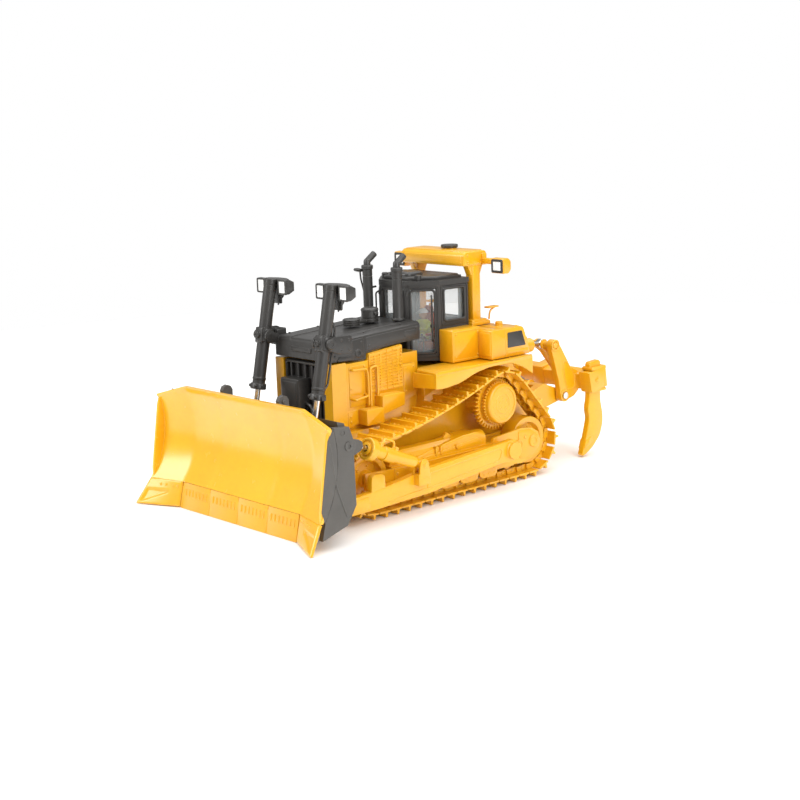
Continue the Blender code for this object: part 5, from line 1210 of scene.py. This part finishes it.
def make_fender(side, word):
    """Deck plate and a skirt whose lower edge is a smoothed run of points, with a rolled lip."""
    plan = soft([(16.9, 30.0), (20.0, 26.0), (31.0, 24.6), (31.0, 72.4), (16.9, 72.4)], 0.6)
    curve = bent([(24.6, 39.2), (28.6, 38.9), (36.0, 39.7), (44.0, 42.3), (51.0, 43.3), (62.0, 43.2),
        (67.5, 41.0), (72.4, 38.0)], 2.4, 5)
    skirt = np.vstack([curve, [(72.4, 44.3), (24.6, 44.3)]])
    shapes = [slab(plan, 43.5, 44.6, 0.2, "xy"), slab(skirt, 30.0, 30.95, 0.2)]
    lip = np.column_stack([np.full(len(curve), 30.5), curve + (0, 0.15)])
    shapes.append(tube(lip, 0.32, 8))
    shapes.append(slab(soft([(25.0, 43.5), (72.0, 43.7), (72.0, 44.9), (25.0, 44.9)], 0.2), 30.2, 31.06,
        0.25))
    shapes.append(slab(soft([(30.6, 34.5), (36.0, 36.0), (36.0, 43.9), (30.6, 43.9)], 0.4), 16.9, 18.4, 0.2))
    shapes.append(slab(soft([(19.2, 38.4), (30.8, 39.2), (30.8, 43.8), (19.2, 43.8)], 0.4), 24.7, 25.3,
        0.15, "xz"))
    shapes.append(brick((20.0, 29.6), (26.4, 40.6), (44.5, 44.75), 0.1, 0.6, "xy"))
    shapes += [brick((21.0, 28.6), (y - 0.22, y + 0.22), (44.6, 44.92), 0.1, 0.15,
        "xy") for y in np.arange(28, 40, 1.5)]
    for y in (27.4, 33.0, 39.0, 46.0, 54.0, 62.0, 70.0):
        shapes.append(hex_bolt((29.6, y, 44.7), (0, 0, 1), 0.34, 0.22))
    for x in (20.6, 26.0):
        shapes.append(brick((x - 0.4, x + 0.4), (25.2, 43.0), (42.6, 43.7), 0.15, 0.2, "yz"))
    piece(f"fender_{word}_sheet", [on_side(s, side) for s in shapes], YELLOW, "chassis",
          [f"fender_{word}"])


# ------------------------------------------------------------------ undercarriage sides and push arms
def make_frame_trim(side, word):
    """Roller guards, recoil housing with fins and straps, axle caps, and bolts on the track frame."""
    shapes = []
    for low in (16.2, 25.6, 35.0, 44.4):
        guard = soft([(low, 8.8), (low, 5.2), (low + 1.4, 4.2), (low + 7.4, 4.2), (low + 8.6, 5.2),
            (low + 8.6, 8.8)], 0.5)
        shapes.append(slab(guard, 30.2, 31.0, 0.15))
        for y in (low + 1.6, low + 4.3, low + 7.0):
            shapes.append(hex_bolt((31.0, y, 7.6), (1, 0, 0), 0.42, 0.3))
            shapes.append(stud((31.0, y, 5.6), (1, 0, 0), 0.3, 0.2, 8))
    housing = soft([(16.0, 13.4), (16.0, 16.9), (22.0, 18.2), (38.0, 20.8), (45.0, 21.0), (49.6, 19.4),
        (49.6, 13.4)], 1.2)
    shapes.append(slab(housing, 21.6, 29.4, 0.7, steps=4))
    shapes.append(slab(soft([(19.0, 16.4), (45.0, 18.8), (47.0, 17.4), (46.0, 16.0), (19.0, 15.6)], 0.25),
        29.2, 29.85, 0.15))
    shapes.append(slab(soft([(30.4, 19.0), (33.6, 22.4), (36.2, 20.2)], 0.5), 24.8, 26.0, 0.2))
    for y in (24.2, 26.4):
        shapes.append(slab(soft([(y, 16.2), (y + 1.0, 16.2), (y + 1.2, 19.4), (y + 0.2, 19.2)], 0.2), 28.9,
            30.2, 0.15))
    shapes.append(lathe([(0.8, -0.2), (0.8, 0.5), (0.6, 0.7)], (29.8, 34.6, 17.6), (1, 0, 0), 16))
    shapes.append(gasket(soft([(18.0, 10.2), (50.0, 10.2), (50.0, 15.2), (18.0, 15.2)], 0.5), 0.3, 29.9,
        30.25))
    shapes.append(slab(soft([(4.6, 9.4), (15.4, 8.4), (15.4, 14.8), (4.6, 15.6)], 0.6), 30.3, 30.85, 0.15))
    shapes.append(slab(soft([(64.4, 8.0), (70.4, 7.6), (75.6, 11.0), (75.8, 14.4), (71.0, 17.8),
        (64.4, 18.2)], 1.4), 30.3, 30.85, 0.2))
    shapes.append(lathe([(2.3, -0.3), (2.3, 0.5), (2.0, 0.8), (1.3, 0.8), (1.1, 0.5)], (30.7, 72.0, 13.3),
        (1, 0, 0), 24))
    shapes.append(lathe([(2.0, -0.3), (2.0, 0.5), (1.7, 0.8), (1.0, 0.8), (0.9, 0.5)], (30.2, -5.0, 13.3),
        (1, 0, 0), 24))
    shapes.append(lathe_ring([(1.5, 0), (1.9, 0), (1.9, 0.35), (1.5, 0.35)], (30.7, 64.6, 13.0), (1, 0, 0),
        24))
    shapes.append(lathe([(0.7, -0.3), (0.7, 0.3), (0.5, 0.45)], (30.8, 67.8, 15.4), (1, 0, 0), 16))
    for y in (6.0, 13.8):
        for z in (10.4, 13.6):
            shapes.append(hex_bolt((30.85, y, z), (1, 0, 0), 0.4, 0.28))
    piece(f"track_frame_{word}_guards", [on_side(s, side) for s in shapes], YELLOW, "chassis")


def make_push_arm(side, word):
    """Long plate with soft rims, a raised inner panel, a fold line, end bosses, block and ears."""
    outline = [
        *ring_of(TRUNNION, 3.7, -100, 100, 12), (12.0, 14.6), (-5.7, 12.2), (-14.0, 11.4),
        *ring_of(BLADE_PIN, 2.5, 80, 280, 12), (-9.0, 5.6), (14.0, 6.4), (48.0, 10.0),
    ]
    shapes = [slab(outline, 34.6, 37.4, 0.3, steps=3)]
    panel = soft([(13.0, 8.0), (47.6, 11.2), (49.4, 14.6), (48.0, 15.8), (14.0, 13.4)], 1.0)
    shapes.append(gasket(panel, 0.35, 37.3, 37.62))
    shapes.append(tube([(37.4, -4.0, 7.2), (37.4, 5.0, 7.9), (37.4, 13.0, 8.4)], 0.2, 6))
    shapes.append(slab(soft([(-11.4, 8.6), (-5.2, 8.6), (-5.2, 16.2), (-6.4, 17.0), (-10.0, 17.2),
        (-11.0, 16.2)], 0.9), 34.8, 37.3, 0.4))
    shapes.append(slab(soft([(-20.0, 6.4), (-12.4, 6.6), (-12.4, 10.6), (-20.0, 10.2)], 0.8), 37.2, 37.75,
        0.2))
    shapes.append(brick((36.0, 39.9), (7.2, 12.4), (10.4, 14.4), 0.3, 0.5))
    for half in (-1, 1):
        ear = soft([(7.4, 13.0), (8.0, 17.8), (9.2, 19.2), (10.8, 19.2), (11.8, 17.8), (12.2, 13.0)], 0.9)
        shapes.append(slab(ear, *sorted((TILT_X + half * 1.1, TILT_X + half * 1.95)), 0.15))
        shapes.append(hex_bolt((TILT_X + half * 1.9, *TILT_PIVOT), (half, 0, 0), 0.8, 0.4))
    shapes.append(lathe_ring([(2.5, -0.2), (3.3, -0.2), (3.3, 0.3), (3.1, 0.45), (2.6, 0.45), (2.5, 0.3)],
        (37.4, *TRUNNION), sides=36))
    shapes.append(lathe_ring([(1.45, -0.2), (2.2, -0.2), (2.2, 0.3), (1.45, 0.3)], (37.4, *BLADE_PIN),
        sides=28))
    piece(f"push_arm_{word}_plate", [on_side(s, side) for s in shapes], YELLOW, "push_arms",
          [f"push_arm_{word}"])


# ------------------------------------------------------------------ ripper
def make_ripper():
    """Side plates with curved notches, embossed pivot rings, a toolbar and studded pockets."""
    outline = soft([
        *ring_of(RIPPER_PIN, 2.4, 200, 300, 8), (108.0, 22.8), (110.8, 25.0), (110.2, 32.4), (106.2, 34.2),
        (100.8, 42.6), *ring_of(RIPPER_TOP, 2.2, 30, 190, 10), (95.8, 41.0), (99.4, 29.4), (100.0, 26.0),
    ], 0.8)
    shapes = []
    ring = [(1.55, -0.2), (2.2, -0.2), (2.2, 0.3), (2.05, 0.42), (1.65, 0.42), (1.55, 0.3)]
    mine = [slab(outline, 16.6, 19.2, 0.3, steps=3)]
    mine.append(lathe_ring([(1.7, -0.2), (2.3, -0.2), (2.3, 0.3), (1.7, 0.3)], (19.2, *RIPPER_PIN), sides=30))
    mine.append(lathe([(1.2, -0.2), (1.2, 0.3), (0.9, 0.5)], (19.2, *RIPPER_TOP), (1, 0, 0), 20))
    mine.append(lathe_ring(ring, (19.2, *RIPPER_TOP), sides=30))
    mine.append(gasket(soft([(103.6, 25.6), (108.6, 26.2), (108.2, 31.6), (103.0, 37.8), (101.4, 35.6)],
        1.2), 0.35, 19.0, 19.4))
    mine.append(lathe([(1.2, 13.6), (1.2, 16.9)], (0, *RIPPER_TOP), (1, 0, 0), 20))
    web = soft([(110.5, 32.2), (109.4, 27.6), (99.0, 40.2), *ring_of(RIPPER_TOP, 1.9, 250, 60, 8),
        (100.6, 42.0)], 0.3)
    for half in (-1, 1):
        mine.append(slab(web, *sorted((TIP_X + half * 1.35, TIP_X + half * 2.0)), 0.12))
    bar = soft([(108.5, 31.3), (109.8, 25.3), (115.7, 26.7), (114.6, 32.7)], 0.4)
    pocket = soft([(107.9, 32.3), (109.4, 24.5), (118.3, 26.0), (117.3, 34.1)], 0.5)
    for low, high in ((21.4, 22.5), (25.7, 26.8)):
        mine.append(slab(pocket, low, high, 0.25))
        mine.append(hex_bolt((high if low > 23 else low, 112.4, 29.2), (1 if low > 23 else -1, 0, 0), 0.9,
            0.5))
    mine.append(slab(soft([(116.6, 25.8), (118.4, 26.1), (117.4, 34.1), (116.6, 34.0)], 0.3), 21.34, 26.86,
        0.2))
    mine.append(slab(soft([(107.9, 32.3), (109.3, 24.6), (109.45, 24.6), (109.4, 32.6)], 0.05), 22.0, 26.2,
        0.1))
    for z_low, z_high in ((24.6, 25.6), (33.0, 34.2)):
        mine.append(gasket(rounded((21.5, 26.7), (109.7, 118.0), 0.4), 1.2, z_low, z_high, "xy"))
    shapes += both(mine)
    shapes += [slab(bar, -21.6, 21.6, 0.25), slab(pocket, -2.7, 2.7, 0.3)]
    shapes.append(lathe([(1.2, -10.4), (1.2, 10.4)], (0, *RIPPER_TOP), (1, 0, 0), 20))
    for x in (-16, -10, 10, 16):
        shapes.append(hex_bolt((x, 115.2, 29.6), (0, 1, 0.15), 0.5, 0.35))
    piece("ripper_beam_plates", shapes, YELLOW, "ripper_beam", ["ripper_beam"])
    blade = bent([
        (109.9, 35.3), (109.7, 22.0), (108.7, 18.4), (109.6, 14.4), (107.4, 7.0), (105.0, 0.7), (106.5, 0.5),
        (111.6, 3.2), (115.6, 7.0), (117.3, 11.4), (117.4, 15.4), (116.1, 20.6), (116.2, 35.7),
    ], 1.6, 4)
    for side, word in SIDES:
        tooth = [
            slab(blade, 22.8, 25.4, 0.45, steps=3),
            slab(soft([(109.8, 34.8), (116.0, 35.2), (115.4, 36.4), (110.4, 36.0)], 0.4), 22.9, 25.3, 0.3),
            slab(soft([(106.0, 3.0), (111.6, 5.4), (110.6, 8.0), (107.2, 6.6)], 0.5), 22.6, 25.6, 0.2),
            stud((25.5, 109.4, 6.4), (1, 0, 0), 0.4, 0.25),
        ]
        piece(f"ripper_shank_{word}_tooth", [on_side(s, side) for s in tooth], YELLOW, "ripper_beam",
              [f"ripper_shank_{word}"])


def make_ripper_cylinder(side, word, name, x, ends, tube_size, rod_size):
    """Turned barrel with an end ring, its eye, a bright rod and the rod's knuckle."""
    origin, axis = line_frame(x, *ends)
    radius, length = tube_size
    thin, rod_length, knuckle, reach = rod_size
    barrel = [
        (radius * 0.8, knuckle + 0.2), (radius, knuckle + 0.6), (radius, length - 1.6), (radius + 0.12,
            length - 1.4),
        (radius + 0.12, length - 0.2), (radius - 0.1, length), (thin + 0.25, length), (thin + 0.2, 2.4),
    ]
    shapes = [lathe(barrel, origin, axis, 28), eye(x, ends[0], knuckle, 1.1)]
    piece(f"{name}_cylinder_{word}_barrel", [on_side(s, side) for s in shapes], YELLOW,
          f"{name}_cylinder_{word}", [f"{name}_cylinder_{word}"])
    bar = [lathe([(thin, reach - rod_length), (thin, reach - 1.0)], origin, axis, 20),
        eye(x, ends[1], knuckle, 1.0)]
    piece(f"{name}_rod_{word}_bar", [on_side(s, side) for s in bar], PLATED, f"{name}_rod_{word}",
          [f"{name}_rod_{word}"])


# ------------------------------------------------------------------ the machine
make_moldboard()
make_cutting_edge()
make_blade_trim()
make_hood()
make_intake()
make_grille()
make_cab_trim()
make_cab_inside()
make_rops()
make_tank(1, "fuel_tank")
make_tank(-1, "hydraulic_tank")
make_ripper()
for hand, hand_name in SIDES:
    make_end_bit(hand, hand_name)
    make_track(hand, hand_name)
    make_idler("front", FRONT_IDLER, hand, hand_name)
    make_idler("rear", REAR_IDLER, hand, hand_name)
    make_sprocket(hand, hand_name)
    make_lift(hand, hand_name)
    make_lamps(hand, hand_name)
    make_yoke(hand, hand_name)
    make_tilt(hand, hand_name)
    make_engine_side(hand, hand_name)
    make_fender(hand, hand_name)
    make_frame_trim(hand, hand_name)
    make_push_arm(hand, hand_name)
    make_ripper_cylinder(hand, hand_name, "ripper_tip", TIP_X, (TIP_PIVOT, RIPPER_TOP), (2.5, 9.0),
        (1.1, 8.5, 1.9, 14.92))
    make_ripper_cylinder(hand, hand_name, "ripper_lift", 7.0, ((82.0, 36.8), (95.0, 28.0)), (2.0, 8.6),
        (1.0, 8.65, 1.7, 15.7))


# ------------------------------------------------------------------ floor, light and camera
def pale_floor():
    """A flat round of pale board, its height zero everywhere."""
    turn = np.arange(64) * 2 * math.pi / 64
    ring = np.column_stack([np.cos(turn) * 0.5, np.sin(turn) * 0.5, np.full(64, -0.0001)])
    mesh = bpy.data.meshes.new("floor")
    mesh.from_pydata(ring, [], [list(range(64))])
    board = Finish("pale_board")
    tone = board.ramp(board.noise(9), (0.3, linear(250, 250, 249)), (0.7, linear(254, 254, 253)))
    mesh.materials.append(board.wear(tone, board.span(board.noise(40), 0.7, 0.8)))
    floor = bpy.data.objects.new("floor", mesh)
    bpy.context.scene.collection.objects.link(floor)


def softbox(name, place, target, size, power, colour=(1, 1, 1)):
    light = bpy.data.lights.new(name, "AREA")
    light.shape = "RECTANGLE"
    light.size, light.size_y = size
    light.energy = power
    light.color = colour
    lamp = bpy.data.objects.new(name, light)
    lamp.location = place
    lamp.rotation_euler = (Vector(target) - Vector(place)).to_track_quat("-Z", "Y").to_euler()
    bpy.context.scene.collection.objects.link(lamp)


def place_camera():
    """The camera looks back from azimuth and elevation, then rolls a little about its axis."""
    azimuth, elevation, roll = np.radians((47.966, 11.049, -1.904))
    back = Vector((
        math.sin(azimuth) * math.cos(elevation),
        -math.cos(azimuth) * math.cos(elevation),
        math.sin(elevation),
    ))
    level = Vector((0, 0, 1)).cross(back).normalized()
    over = back.cross(level)
    right = math.cos(roll) * level + math.sin(roll) * over
    up = math.cos(roll) * over - math.sin(roll) * level
    camera = bpy.data.cameras.new("camera")
    camera.sensor_width = 36
    camera.lens = 66.7
    camera.clip_start = 0.01
    eye = bpy.data.objects.new("camera", camera)
    turn = Matrix((right, up, back)).transposed().to_4x4()
    eye.matrix_world = Matrix.Translation((0.38627, -0.34817, 0.13159)) @ turn
    bpy.context.scene.collection.objects.link(eye)
    bpy.context.scene.camera = eye


pale_floor()
place_camera()
softbox("overhead", (0.1, 0.1, 0.8), (0, 0.05, 0.03), (1.3, 1.3), 11.0)
softbox("front_left", (-0.35, -0.75, 0.5), (0, -0.05, 0.03), (0.45, 0.45), 4.2)
softbox("right", (0.8, -0.1, 0.35), (0, 0, 0.03), (0.4, 0.5), 3.4)
world = bpy.data.worlds.new("white_room")
world.use_nodes = True
backdrop = world.node_tree.nodes["Background"]
backdrop.inputs["Color"].default_value = (1, 1, 1, 1)
seen = world.node_tree.nodes.new("ShaderNodeLightPath").outputs["Is Camera Ray"]
strength = world.node_tree.nodes.new("ShaderNodeMapRange")
strength.inputs["To Min"].default_value = 0.42
strength.inputs["To Max"].default_value = 1.0
world.node_tree.links.new(seen, strength.inputs["Value"])
world.node_tree.links.new(strength.outputs["Result"], backdrop.inputs["Strength"])
bpy.context.scene.world = world
bpy.context.scene.view_settings.view_transform = "Standard"
